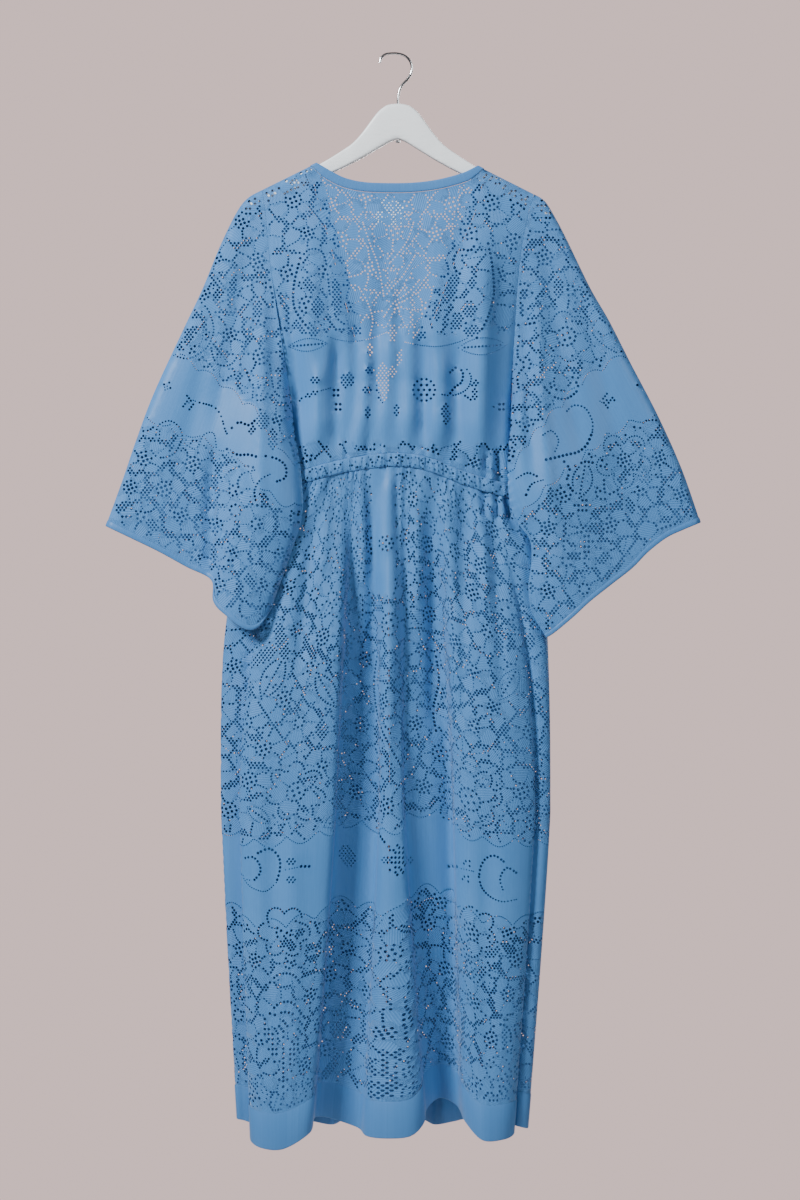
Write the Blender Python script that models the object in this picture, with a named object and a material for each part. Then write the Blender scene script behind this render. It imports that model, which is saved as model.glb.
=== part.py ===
"""A lace robe on a wooden hanger, hung flat with its back to the viewer.

Built in metres with +Z up. The origin is the inside of the hook's bend, where a rail
carries it. The back of the robe faces -Y, the open front faces +Y. Sizes and tables
below are in millimetres. Every cloth panel is a thin wall on a middle surface, and the
middle surface is worked out from its seam lines and from short tables of folds.
"""
import math

import bpy
import numpy as np

MM = 0.001

# Cloth
CLOTH = 1.2            # wall of every lace panel
BAND_WALL = 2.0        # neck band, folded double
SEAM = 0.3             # clear gap left between two pieces at a seam
HALF_GAP = SEAM / 2

# Hanger and hook
HOOK_WIRE = 1.75       # radius of the bent wire
HOOK_POINTS = 20       # points along its centre line
HOOK_ROUND = 2         # bevel steps round it
WOOD_CHAMFER = 3.0     # bevel on the long edges of the arms
CHAMFER_SHARE = 1 / 3  # and at most this share of the arm's height

# How the cloth turns over the wood and lies on it
TURN_DEPTH = 9.0       # how far the panels stand off the hanger's middle plane
NECK_DEPTH = 9.5       # stand-off of the back neck line
CORNER_DEPTH = 8.4     # stand-off beside the two corners of the back neck
TURN_SHARE = 0.03      # share of the panel's height in which it turns over the wood
WOOD_REACH = 0.45      # share of a bodice's height down to which it keeps clear of the wood
WOOD_EASE = 0.15       # share in which that clearance eases away

# Waist
CASING_HEIGHT = 20.0
CASING_BELLY = 3.4     # half the thickness of the gathered channel
CASING_CLEAR = 1.4     # bellies between the middle plane and the channel at the side seams
WAIST_DEPTH = 14.0     # the waist seam stands off the middle plane, front and back
GATHER_WAVE = 3.2      # height of the small waves at the gathered seam
GATHER_FADE = 0.06     # share of the panel's height in which they die away
GATHER_COLUMNS = 4     # wall columns in one gather wave
GATHER_START = 0.6     # phase of the first gather wave, in radians
GATHER_UNEVEN = 0.35   # how much the gather waves differ in height
GATHER_DRIFT = 0.37    # how fast that difference changes from wave to wave
GATHER_ENDS = 0.05     # share of a bodice's width in which its gathers die at the sides
WAIST_TURN = 0.12      # share of the seam in which it comes back to the side seams
PUFF_UNEVEN = 0.25     # how much the channel swells and pinches
PUFF_START = 2.0       # phase of the first swelling, in radians
PUFF_END = 0.45        # share of the belly left at the channel's ends
PUFF_STEP = 0.2        # share of the belly gained from one section to the next there
PUFF_CALM = 6          # sections at each end in which its waves grow

# Skirt
FOLDS_START = 0.06     # share of the skirt's height where its folds begin to stand out
KNEE = 0.5             # share of the skirt's height at the knee line
FLARE = 1.2            # how the cloth widens from the waist to the knee line
SIDE_FLARE = 4.0       # extra at the side seams, where it widens at once
SIDE_FLARE_POWER = 6
HEM_LEAN = 1.15        # how the folds drift from the knee line to the hem

# Band round the neck and down both fronts
BAND_WIDTH = 14.0
BAND_CORNER = 0.75     # share of the width kept where it crosses the shoulder seam
BAND_TURN_START = 0.02     # share of its length where it leaves that crossing
BAND_TURN = 0.07           # share in which it takes its full width
BAND_STEP = 0.02       # share on both sides over which its direction is taken
BAND_SEAM = 0.48       # clear gap between the band and the panel it is sewn to
NECK_END = 0.012       # share of the neck line between a corner and its first column
NECK_CORNER = 0.22     # share of the back's width at the corners of the neck
NECK_EASE = 0.1        # share of the back's height in which it leaves the neck band
FRONT_DEPTHS = [(0.0, TURN_DEPTH), (0.1, 11.0), (0.5, 15.0), (1.0, WAIST_DEPTH)]

# Columns and rows of each wall
SKIRT_COLUMNS = 48
FRONT_SKIRT_COLUMNS = 20
BODICE_COLUMNS = 36
FRONT_BODICE_COLUMNS = 12
SKIRT_ROWS = (0.0, 0.015, 0.045, 0.10, 0.19, 0.32, 0.46, 0.60, 0.75, 0.88, 1.0)
BODICE_ROWS = (0.0, 0.006, 0.018, 0.06, 0.18, 0.37, 0.56, 0.75, 0.87, 0.95, 1.0)
UNDERARM = 0.75        # the underarm point lies at this share of the bodice's side
SIDE_JOIN = 0.3        # share of the side seam in which front and back come together
SLEEVE_ROWS = (0.0, 0.06, 0.18, 0.38, 0.60, 0.80, 1.0)
SLEEVE_COLUMNS = (0.0, 0.008, 0.024, 0.08, 0.20, 0.32, 0.42, 0.50, 0.57, 0.64, 0.74, 0.85, 0.94,
                  1.0)
# Folds of the back skirt from the left side seam to the right one
# fold, knee x, knee y, hem x, hem y, hem z
SKIRT_BACK = [
    ("side seam left", -251, 14, -228, 14, -1513),
    ("strip left", -251, 2, -228, -2, -1511),
    ("strip inner left", -231, -4, -216, -6, -1513),
    ("turn left", -217, -8, -203, -12, -1519),
    ("edge left", -224, -22, -208, -28, -1535),
    ("face left", -202, -37, -191, -45, -1543),
    ("face left middle", -159, -41, -160, -50, -1543),
    ("face left inner", -112, -34, -132, -38, -1522),
    ("hollow left", -71, -14, -104, -8, -1507),
    ("hollow left inner", -52, -8, -76, -6, -1522),
    ("rise centre", -37, -26, -45, -32, -1530),
    ("face centre", -17, -38, -11, -47, -1530),
    ("face centre inner", 0, -36, 20, -50, -1526),
    ("edge centre", 10, -24, 36, -36, -1511),
    ("turn centre", 14, -10, 38, -12, -1494),
    ("hollow right", 37, -4, 54, 8, -1483),
    ("hollow right inner", 61, -6, 77, 4, -1494),
    ("rise right", 76, -26, 93, -26, -1510),
    ("face right", 112, -39, 118, -48, -1531),
    ("face right middle", 160, -40, 147, -46, -1531),
    ("edge right", 192, -26, 163, -30, -1526),
    ("turn right", 189, -8, 158, -10, -1516),
    ("strip inner right", 203, -4, 169, -6, -1517),
    ("strip right", 216, 2, 184, -2, -1521),
    ("side seam right", 216, 14, 184, 14, -1523),
]

# Folds of each front skirt, from its side seam to its open front edge
# fold, knee share of the half width, knee y, hem share, hem y, hem z
SKIRT_FRONT = [
    ("side seam", 1.00, 14, 1.00, 14, -1517),
    ("side turn", 1.00, 25, 1.00, 27, -1517),
    ("strip", 0.92, 31, 0.92, 33, -1519),
    ("fold one", 0.83, 48, 0.82, 56, -1528),
    ("fold one inner", 0.70, 53, 0.69, 62, -1532),
    ("hollow one", 0.58, 34, 0.58, 35, -1519),
    ("rise two", 0.49, 46, 0.49, 52, -1526),
    ("fold two", 0.37, 55, 0.36, 64, -1533),
    ("hollow two", 0.26, 36, 0.27, 36, -1520),
    ("fold three", 0.16, 48, 0.16, 55, -1527),
    ("front edge turn", 0.07, 45, 0.07, 50, -1526),
    ("front edge", 0.00, 42, 0.00, 46, -1525),
]
FRONT_MEETS = {"waist": -15.0, "knee": -12.0, "hem": -20.0}   # x where the fronts meet

# Upper edge of the gathered channel, x and z
WAIST = [
    (-150, -594), (-118, -585), (-82, -576), (-40, -569), (3, -566), (45, -573), (88, -590),
    (125, -602), (166, -612),
]

# Neck line: upper edge of the band, x and z, from the left corner to the right one
NECK = [
    (-116, -154), (-94, -167), (-74, -176.6), (-47, -182.3), (-11, -183.7), (23, -182.9),
    (57, -178.5), (91, -169.3), (114, -158.2),
]

# V of the two fronts: inner edge of the band, x and z, from the shoulder down
FRONT_V = {
    "left": [(-116, -154), (-105, -187), (-94, -225), (-81, -273), (-66, -331), (-50, -390),
             (-31, -462), (-17, -507), (-15.3, -540), (-15.3, -568)],
    "right": [(114, -158), (105, -190), (95, -222), (75, -268), (59, -310), (40, -363),
              (3, -462), (-12, -507), (-14.7, -540), (-14.7, -568)],
}

# Sleeve seams and edges, x and z
# armhole: shoulder to underarm, y is set by ARMHOLE_DEPTH
ARMHOLE = {
    "left": [(-193, -192), (-188, -225), (-184, -270), (-178, -320), (-169, -380),
             (-160, -435), (-152, -490)],
    "right": [(193, -198), (184, -230), (175, -275), (169, -330), (165, -390),
              (162, -440), (161, -490)],
}
OUTER_EDGE = {
    "left": [(-193, -192), (-214, -204), (-230, -225), (-253, -272), (-278, -333), (-305, -390),
             (-347, -481), (-373, -550), (-390, -600), (-415, -669)],
    "right": [(193, -198), (209, -208), (226, -236), (240, -263), (273, -331), (300, -378),
              (331, -439), (369, -512), (403, -588), (429.5, -664)],
}
UNDER_EDGE = {
    "left": [(-152, -490), (-153, -512), (-149, -540), (-141, -572), (-136, -605), (-134, -640),
             (-138, -670), (-147, -697), (-160, -735), (-170, -762), (-178, -785)],
    "right": [(161, -490), (163, -512), (160, -540), (156, -572), (155, -605), (158, -636),
              (168, -664), (186, -690), (188, -722), (184, -754), (188, -790), (209, -827)],
}
CUFF = {
    "left": [(-415, -669), (-375, -688), (-338, -706), (-300, -727), (-264, -746), (-259, -777),
             (-241, -796), (-214, -815), (-195, -811), (-178, -785)],
    "right": [(429.5, -664), (403, -675), (380, -686), (354, -706), (331, -729), (301, -752),
              (270, -776), (247, -797), (220, -820), (209, -827)],
}

# Stand-off of the armhole seam from the middle plane, by share of its length
# share, depth
ARMHOLE_DEPTH = [
    (0.0, 0.0), (0.008, 5.4), (0.024, 8.2), (0.08, 10.0), (0.24, 13.0), (0.49, 14.0),
    (0.75, 11.0), (1.0, 1.2),
]

# Relief added to the bodice between its seams, toward the outside
# share of width, below the neck, at the shoulder blades, above the waist
BODICE_FOLDS = [
    (0.00, 0, 0, 0), (0.05, 1, 3, 2), (0.12, 4, 12, 9), (0.20, 4, 9, 12), (0.28, 3, 10, 6),
    (0.36, 2, 5, 12), (0.43, 2, 8, 5), (0.50, 2, 10, 13), (0.57, 2, 5, 6), (0.65, 3, 9, 13),
    (0.72, 3, 6, 6), (0.80, 4, 11, 12), (0.88, 4, 10, 8), (0.95, 1, 3, 2), (1.00, 0, 0, 0),
]
FRONT_BODICE_FOLDS = [
    (0.00, 0, 0, 0), (0.12, 3, 6, 4), (0.30, 5, 10, 12), (0.48, 4, 6, 5), (0.66, 4, 8, 12),
    (0.84, 3, 3, 4), (1.00, 0, 0, 0),
]
FOLD_HEIGHTS = (0.0, 0.10, 0.42, 0.86, 1.0)    # rows of the relief between the two seams

# y of the sleeve halves: rows from armhole to cuff, columns from outer edge to underarm.
# The part next to the body lies over the side of the skirt, so both halves come forward there.
SLEEVE_SHARES = (0.0, 0.03, 0.12, 0.30, 0.42, 0.50, 0.57, 0.64, 0.80, 0.93, 1.0)
SLEEVE_FOLD_ROWS = (0.0, 0.25, 0.5, 0.75, 1.0)
SLEEVE_LEFT_BACK = [
    (0, -9, -13, -14, -16, -21, -26, -29, -32, -24, -14),
    (0, -9, -13, -14, -22, -31, -36, -39, -42, -32, -20),
    (0, -9, -12, -12, -14, -22, -34, -41, -45, -37, -25),
    (0, -8, -11, -11, -10, -13, -22, -38, -48, -41, -28),
]
SLEEVE_LEFT_FRONT = [
    (0, 9, 12, 13, 12, 10, 6, 2, -4, -9, -14),
    (0, 9, 11, 12, 4, -4, -10, -14, -18, -19, -20),
    (0, 9, 11, 12, 8, -2, -14, -20, -23, -24, -25),
    (0, 8, 10, 11, 10, 4, -10, -22, -25, -27, -28),
]
SLEEVE_RIGHT_BACK = [
    (0, -9, -13, -17, -19, -21, -23, -26, -30, -24, -14),
    (0, -9, -13, -19, -24, -27, -30, -33, -37, -30, -20),
    (0, -9, -12, -15, -20, -25, -30, -34, -39, -33, -25),
    (0, -8, -10, -13, -17, -22, -27, -33, -40, -36, -28),
]
SLEEVE_RIGHT_FRONT = [
    (0, 9, 12, 13, 13, 11, 9, 7, 2, -7, -14),
    (0, 9, 11, 13, 12, 10, 7, 3, -8, -17, -20),
    (0, 9, 11, 13, 13, 11, 7, 2, -12, -22, -25),
    (0, 8, 10, 13, 14, 12, 9, 4, -12, -24, -28),
]
# share of the underarm seam, y
UNDER_SEAM = [(0.0, 0.0), (0.06, -8.5), (0.18, -16.0), (0.38, -20.0), (0.6, -23.0), (1.0, -28.0)]

# Wooden hanger, middle to tip
# x, top z, bottom z, half thickness
HANGER = [
    (0, -70.0, -120.0, 7.0), (12, -71.0, -124.0, 7.0), (20, -74.5, -128.5, 7.0),
    (31, -84.5, -135.0, 7.0), (50, -110.0, -146.0, 6.5), (64, -125.5, -153.5, 6.5),
    (78, -135.5, -160.5, 6.0), (97, -147.5, -169.5, 6.0), (110, -155.0, -176.0, 6.0),
    (118, -159.2, -180.0, 6.0), (150, -174.5, -194.5, 6.0), (180, -189.3, -208.0, 6.0),
    (204, -203.5, -218.0, 5.5), (216, -213.0, -222.0, 4.5),
]
RIGHT_ARM_DROOP = 0.035   # the right arm hangs this much lower for each millimetre out

# Centre line of the hook's wire, x and z, from its tip to the wood
HOOK = [
    (-26, -11), (-24, -4.5), (-18.5, 0.5), (-10, 2), (0, 1.75), (9, -1), (16, -7), (19.5, -16),
    (18.5, -26), (13, -35), (6.5, -42), (2.5, -49), (0.8, -56), (0, -63), (0, -69.6),
]

# Screw end under the middle of the wood
NUT_RADIUS = 3.2
NUT_HEIGHT = 3.0
NUT_TOP = -121.6
NUT_SIDES = 12

# Holes of the lace that are wider than 4 mm, cut right through
HOLE_SIDE = 4.3        # side of one hole, which stands on a corner
CUT_REACH = 9.0        # how far a cutter reaches on both sides of the wall
CELL_TALL = 3          # the wall's cells are about this many times taller than wide
PETALS = 4             # holes round the middle hole of a ring flower
PETAL_TURN = 0.25      # how far the first of them is turned, in petals
RING_RADIUS = 8.0
# piece: middle of each ring flower, x and z
FLOWERS = {
    "bodice_back": [(-147, -212), (132, -214), (40, -478), (-20, -474)],
    "sleeve_right_back": [(238, -401), (320, -576), (299, -668)],
    "sleeve_left_back": [(-238, -400), (-193, -430), (-291, -582), (-379, -615)],
    "skirt_back": [(-106, -827), (-12, -808), (-206, -1029), (-143, -1044), (-1, -1140),
                   (92, -834), (142, -800), (173, -1043), (113, -1055), (-160, -1240),
                   (13, -1428), (112, -1241), (112, -1455)],
    "bodice_front_left": [(-140, -300)],
    "bodice_front_right": [(130, -300)],
    "sleeve_left_front": [(-238, -400), (-300, -582)],
    "sleeve_right_front": [(238, -401), (310, -590)],
    "skirt_front_left": [(-120, -830), (-190, -1040), (-120, -1240)],
    "skirt_front_right": [(110, -830), (165, -1040), (95, -1240)],
}
# piece: middle x and z, radius, first and last angle in degrees, number of holes
SCROLLS = {
    "sleeve_right_back": [(240, -530, 32, 65, -75, 8)],
    "sleeve_left_back": [(-222, -590, 30, 150, 20, 6)],
    "skirt_back": [(-196, -1153, 29, 62, -62, 6), (142, -1162, 28, 125, 235, 6),
                   (-194, -1438, 36, 62, 10, 4), (-122, -1438, 36, 118, 152, 3)],
}

# Colours
BLUE = (0.150, 0.340, 0.560, 1.0)
WHITE = (0.86, 0.88, 0.90, 1.0)
STEEL = (0.72, 0.73, 0.74, 1.0)


def spline(rows, at):
    """Points of a smooth curve through the rows of a table, at fractional row numbers."""
    rows = np.asarray(rows, float)
    last = len(rows) - 1
    at = np.clip(np.asarray(at, float), 0.0, last)
    low = np.minimum(at.astype(int), last - 1)
    part = (at - low)[:, None]
    before = rows[np.maximum(low - 1, 0)]
    start = rows[low]
    end = rows[low + 1]
    after = rows[np.minimum(low + 2, last)]
    rise = (end - before) / 2
    fall = (after - start) / 2
    square = part * part
    cube = square * part
    first = (2 * cube - 3 * square + 1) * start + (cube - 2 * square + part) * rise
    second = (3 * square - 2 * cube) * end + (cube - square) * fall
    return first + second


def lengths(points):
    """Distance walked along a line of points."""
    steps = np.linalg.norm(np.diff(np.asarray(points, float), axis=0), axis=1)
    return np.concatenate(([0.0], np.cumsum(steps)))


def along(points, shares):
    """Points of a smooth line at the given shares of its length."""
    walked = lengths(points)
    rows = np.interp(np.asarray(shares, float) * walked[-1], walked, np.arange(len(points)))
    return spline(points, rows)


def table(rows, first=0):
    """The number columns of a table, without the names."""
    return np.array([row[first:] for row in rows], float)


def three(points, depth):
    """x and z pairs with a depth put between them."""
    points = np.asarray(points, float)
    depth = np.broadcast_to(np.asarray(depth, float), (len(points),))
    return np.column_stack((points[:, 0], depth, points[:, 1]))


def patch(top, bottom, left, right, columns, rows):
    """A surface stretched between four seam lines that share their corners."""
    across = np.asarray(columns)[None, :, None]
    down = np.asarray(rows)[:, None, None]
    ruled_down = (1 - down) * top[None] + down * bottom[None]
    ruled_across = (1 - across) * left[:, None] + across * right[:, None]
    corners = ((1 - down) * (1 - across) * top[0] + (1 - down) * across * top[-1]
               + down * (1 - across) * bottom[0] + down * across * bottom[-1])
    return ruled_down + ruled_across - corners


def relief(heights, folds, rows, columns):
    """Fold depths from a small table, smoothed in both directions."""
    shares = folds[:, 0]
    row_at = np.interp(rows, heights, np.arange(len(heights)))
    column_at = np.interp(columns, shares, np.arange(len(shares)))
    down = spline(folds[:, 1:].T, row_at)
    return spline(down.T, column_at).T


def gathers(columns, rows, wave=GATHER_WAVE, from_bottom=False):
    """Small waves that stand at the gathered seam and fade away from it."""
    phase = np.arange(len(columns)) * 2 * math.pi / GATHER_COLUMNS
    away = 1 - np.asarray(rows) if from_bottom else np.asarray(rows)
    ends = np.minimum(1.0, np.minimum(columns, 1 - np.asarray(columns)) / WAIST_TURN)
    uneven = 1 + GATHER_UNEVEN * np.sin(phase * GATHER_DRIFT)
    height = wave * np.sin(phase + GATHER_START) * uneven * ends
    return np.exp(-away / GATHER_FADE)[:, None] * height[None]


def waist_line(shares, side):
    """Points of the waist seam; side is -1 for the back and +1 for the front."""
    line = along(WAIST, shares)
    ends = np.minimum(1.0, np.minimum(shares, 1 - shares) / WAIST_TURN)
    return three(line, side * (HALF_GAP + (WAIST_DEPTH - HALF_GAP) * np.sqrt(ends)))


def waist_share(x):
    """Share of the waist seam's length at one x."""
    walked = lengths(WAIST)
    xs = np.array(WAIST, float)[:, 0]
    return float(np.interp(x, xs, walked / walked[-1]))


def waist_height(x):
    """z of the waist seam at one x."""
    return along(WAIST, [waist_share(x)])[0, 1]


# Solids from surfaces

def collection(name):
    made = bpy.data.collections.new(name)
    bpy.context.scene.collection.children.link(made)
    return made


def material(name, colour, roughness, metallic):
    made = bpy.data.materials.new(name)
    made.use_nodes = True
    shader = made.node_tree.nodes["Principled BSDF"]
    shader.inputs["Base Color"].default_value = colour
    shader.inputs["Roughness"].default_value = roughness
    shader.inputs["Metallic"].default_value = metallic
    made.diffuse_color = colour
    return made


def solid(name, points, faces, look, home):
    """One closed body from points in millimetres."""
    mesh = bpy.data.meshes.new(name)
    points = np.asarray(points, float)
    corners = points[np.array([face[:3] for face in faces])]
    volume = np.einsum("ij,ij->i", corners[:, 0], np.cross(corners[:, 1], corners[:, 2])).sum()
    if volume < 0:
        faces = [tuple(reversed(face)) for face in faces]
    mesh.from_pydata([tuple(point) for point in points * MM], [], faces)
    mesh.materials.append(look)
    made = bpy.data.objects.new(name, mesh)
    home.objects.link(made)
    return made


AXES = {"x": 0, "y": 1, "z": 2}
EDGES = {"top": np.s_[0, :], "bottom": np.s_[-1, :], "left": np.s_[:, 0], "right": np.s_[:, -1]}


def normals(grid, flat):
    """Unit normals of a grid; at a seam the part that points across the gap is taken out.

    flat names, for an edge, the axis or axes across its gap, or one such name a point.
    """
    down = np.gradient(grid, axis=0)
    across = np.gradient(grid, axis=1)
    normal = np.cross(across, down)
    for edge, names in flat.items():
        line = normal[EDGES[edge]]
        if isinstance(names, str):
            names = [names] * len(line)
        for point, name in zip(line, names):
            for axis in name:
                point[AXES[axis]] = 0.0
    return normal / np.linalg.norm(normal, axis=2)[:, :, None]


def wall(name, grid, thickness, look, home, **flat):
    """A closed sheet of cloth: outer points, inner points and the cut edge between them."""
    rows, columns, _ = grid.shape
    push = normals(grid, flat) * thickness / 2
    points = np.concatenate(((grid + push).reshape(-1, 3), (grid - push).reshape(-1, 3)))
    back = rows * columns
    faces = []
    for r in range(rows - 1):
        for c in range(columns - 1):
            a = r * columns + c
            b = a + 1
            d = a + columns
            e = d + 1
            if (r + c) % 2:
                pair = ((a, b, e), (a, e, d))
            else:
                pair = ((a, b, d), (b, e, d))
            for face in pair:
                faces.append(face)
                faces.append(tuple(back + i for i in reversed(face)))
    rim = [r * columns for r in range(rows)]
    rim += [(rows - 1) * columns + c for c in range(1, columns)]
    rim += [r * columns + columns - 1 for r in range(rows - 2, -1, -1)]
    rim += [c for c in range(columns - 2, 0, -1)]
    for i, a in enumerate(rim):
        b = rim[(i + 1) % len(rim)]
        faces.append((a, b, back + b))
        faces.append((a, back + b, back + a))
    return solid(name, points, faces, look, home)


def loft(name, rings, look, home):
    """A closed body through rings of equal length, with flat fans on both ends."""
    rings = np.asarray(rings, float)
    count, around, _ = rings.shape
    faces = []
    for r in range(count - 1):
        for i in range(around):
            a = r * around + i
            b = r * around + (i + 1) % around
            faces.append((a, b, b + around))
            faces.append((a, b + around, a + around))
    for i in range(1, around - 1):
        faces.append((0, i + 1, i))
        last = (count - 1) * around
        faces.append((last, last + i, last + i + 1))
    return solid(name, rings.reshape(-1, 3), faces, look, home)


# Panels of the robe

def skirt_surface(knee, hem, waist, columns, rows):
    """Cloth that hangs from the gathered waist through the knee line to the hem."""
    middle = np.abs(2 * columns - 1)
    lean = FLARE + SIDE_FLARE * middle ** SIDE_FLARE_POWER
    grid = np.zeros((len(rows), len(columns), 3))
    for r, down in enumerate(rows):
        if down < KNEE:
            left = 1 - down / KNEE
            grid[r, :, 0] = knee[:, 0] + (waist[:, 0] - knee[:, 0]) * left ** lean
            grown = np.clip((down - FOLDS_START) / (KNEE - FOLDS_START), 0.0, 1.0)
            grown = grown * grown * (3 - 2 * grown)
            grid[r, :, 1] = knee[:, 1] * grown + waist[:, 1] * (1 - grown)
        else:
            done = ((down - KNEE) / (1 - KNEE)) ** HEM_LEAN
            grid[r, :, :2] = knee + (hem[:, :2] - knee) * done
        grid[r, :, 2] = waist[:, 2] + (hem[:, 2] - waist[:, 2]) * down
    return grid


def back_skirt_surface():
    folds = table(SKIRT_BACK, 1)
    at = np.linspace(0, len(folds) - 1, SKIRT_COLUMNS + 1)
    knee = spline(folds[:, 0:2], at)
    hem = spline(folds[:, 2:5], at)
    walked = lengths(knee)
    columns = walked / walked[-1]
    rows = np.array(SKIRT_ROWS)
    waist = waist_line(columns, -1)
    waist[:, 2] -= CASING_HEIGHT + SEAM
    grid = skirt_surface(knee, hem, waist, columns, rows)
    grid[:, :, 1] += gathers(columns, rows)
    grid[:, 0, 1] -= HALF_GAP
    grid[:, -1, 1] -= HALF_GAP
    return grid


def front_skirt_surface(hand):
    folds = table(SKIRT_FRONT, 1)
    back = table(SKIRT_BACK, 1)
    side = back[0] if hand == "left" else back[-1]
    at = np.linspace(0, len(folds) - 1, FRONT_SKIRT_COLUMNS + 1)
    knee = spline(folds[:, 0:2], at)
    hem = spline(folds[:, 2:5], at)
    toward = -HALF_GAP if hand == "left" else HALF_GAP
    meet = {place: x + toward for place, x in FRONT_MEETS.items()}
    knee[:, 0] = meet["knee"] + (side[0] - meet["knee"]) * knee[:, 0]
    hem[:, 0] = meet["hem"] + (side[2] - meet["hem"]) * hem[:, 0]
    hem[0, 2] = side[4]
    walked = lengths(knee)
    columns = walked / walked[-1]
    rows = np.array(SKIRT_ROWS)
    start = 0.0 if hand == "left" else 1.0
    stop = waist_share(meet["waist"])
    waist = waist_line(start + (stop - start) * columns, 1)
    waist[:, 2] -= CASING_HEIGHT + SEAM
    grid = skirt_surface(knee, hem, waist, columns, rows)
    grid[:, -1, 0] = np.interp(rows, (0.0, KNEE, 1.0),
                               (meet["waist"], meet["knee"], meet["hem"]))
    grid[:, :, 1] += gathers(columns, rows)
    grid[:, 0, 1] += HALF_GAP
    if hand == "right":
        grid = grid[:, ::-1]
    return grid


def armhole(hand, side, shares):
    """The armhole seam; straight between the bodice's rows so both pieces follow it."""
    knots = np.array([row / UNDERARM for row in BODICE_ROWS if row <= UNDERARM])
    flat = along(ARMHOLE[hand], knots)
    depth = table(ARMHOLE_DEPTH)
    stand_off = np.interp(knots, depth[:, 0], depth[:, 1])
    line = three(flat, side * (HALF_GAP + stand_off))
    return np.column_stack([np.interp(shares, knots, line[:, i]) for i in range(3)])


def bodice_side(hand, side, rows):
    """Side of a bodice: the armhole down to the underarm, then the side seam to the waist."""
    shoulder = armhole(hand, side, np.minimum(rows / UNDERARM, 1.0))
    waist = WAIST[0] if hand == "left" else WAIST[-1]
    below = np.clip((rows - UNDERARM) / (1 - UNDERARM), 0.0, 1.0)[:, None]
    end = np.array([waist[0], side * HALF_GAP, waist[1] + SEAM])
    line = shoulder * (1 - below) + end * below
    joined = np.minimum(below[:, 0] / SIDE_JOIN, 1.0)
    line[:, 1] = np.where(below[:, 0] > 0,
                          shoulder[:, 1] * (1 - joined) + side * HALF_GAP * joined, line[:, 1])
    return line


def turn(rows):
    """How far the cloth has turned over the wood at each row, 0 to 1."""
    short = np.clip(1 - np.asarray(rows) / TURN_SHARE, 0.0, 1.0)
    return np.sqrt(1 - short * short)


def shoulder_corner(hand):
    """Outer edge of the neck band where it crosses the shoulder seam."""
    neck = np.array(NECK[0] if hand == "left" else NECK[-1], float)
    tip = np.array(ARMHOLE[hand][0], float)
    way = (tip - neck) / np.linalg.norm(tip - neck)
    return neck + way * (BAND_WIDTH * BAND_CORNER)


def turned_out(shares):
    """How much of the band still follows the shoulder seam at these shares of its length."""
    return np.clip(1 - (shares - BAND_TURN_START) / BAND_TURN, 0.0, 1.0)[:, None]


def neck_lower(shares):
    """Lower edge of the back neck band, one band width below the neck line."""
    upper = along(NECK, shares)
    ahead = along(NECK, np.minimum(np.asarray(shares) + BAND_STEP / 2, 1.0))
    behind = along(NECK, np.maximum(np.asarray(shares) - BAND_STEP / 2, 0.0))
    way = ahead - behind
    way /= np.linalg.norm(way, axis=1)[:, None]
    down = np.column_stack((way[:, 1], -way[:, 0])) * BAND_WIDTH
    for hand, from_end in (("left", shares), ("right", 1 - shares)):
        corner = shoulder_corner(hand) - np.array(NECK[0] if hand == "left" else NECK[-1])
        mix = turned_out(from_end)
        down = down * (1 - mix) + corner * mix
    return upper + down


def back_top():
    """Top edge of the back bodice, with the columns at the two corners of the neck."""
    first = int(round(BODICE_COLUMNS * NECK_CORNER))
    last = BODICE_COLUMNS - first
    left = shoulder_corner("left")
    right = shoulder_corner("right")
    tip_left = np.array(ARMHOLE["left"][0], float)
    tip_right = np.array(ARMHOLE["right"][0], float)
    lower = neck_lower(neck_shares(last - first - 1))
    steps = np.linspace(0, 1, first + 1)[:, None]
    flat = np.concatenate((tip_left * (1 - steps) + left * steps, lower,
                           right * (1 - steps) + tip_right * steps))
    depth = np.full(len(flat), HALF_GAP)
    depth[first + 1:last] = NECK_DEPTH
    depth[[first + 1, last - 1]] = CORNER_DEPTH
    return three(flat, -depth), first, last


def neck_shares(count):
    """Shares of the neck line for the columns between its corners."""
    return np.linspace(NECK_END, 1.0 - NECK_END, count)


def back_bodice_surface():
    columns = np.linspace(0, 1, BODICE_COLUMNS + 1)
    rows = np.array(BODICE_ROWS)
    top, first, last = back_top()
    bottom = waist_line(columns, -1)
    bottom[:, 2] += SEAM
    left = bodice_side("left", -1, rows)
    right = bodice_side("right", -1, rows)
    grid = bodice_relief(top, bottom, left, right, columns, rows, BODICE_FOLDS, -1)
    shoulder = [c for c in range(len(columns)) if c <= first or c >= last]
    grid[:, shoulder, 1] = turned(grid[:, shoulder, 1], rows, -1)
    neck = [c for c in range(len(columns)) if first < c < last]
    reach = np.clip(rows / NECK_EASE, 0.0, 1.0)[:, None]
    grid[:, neck, 1] = top[neck, 1][None] * (1 - reach) + grid[:, neck, 1] * reach
    grid[:, 0] = left
    grid[:, -1] = right
    grid[:, 0, 0] += HALF_GAP
    grid[:, -1, 0] -= HALF_GAP
    return grid


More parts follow.
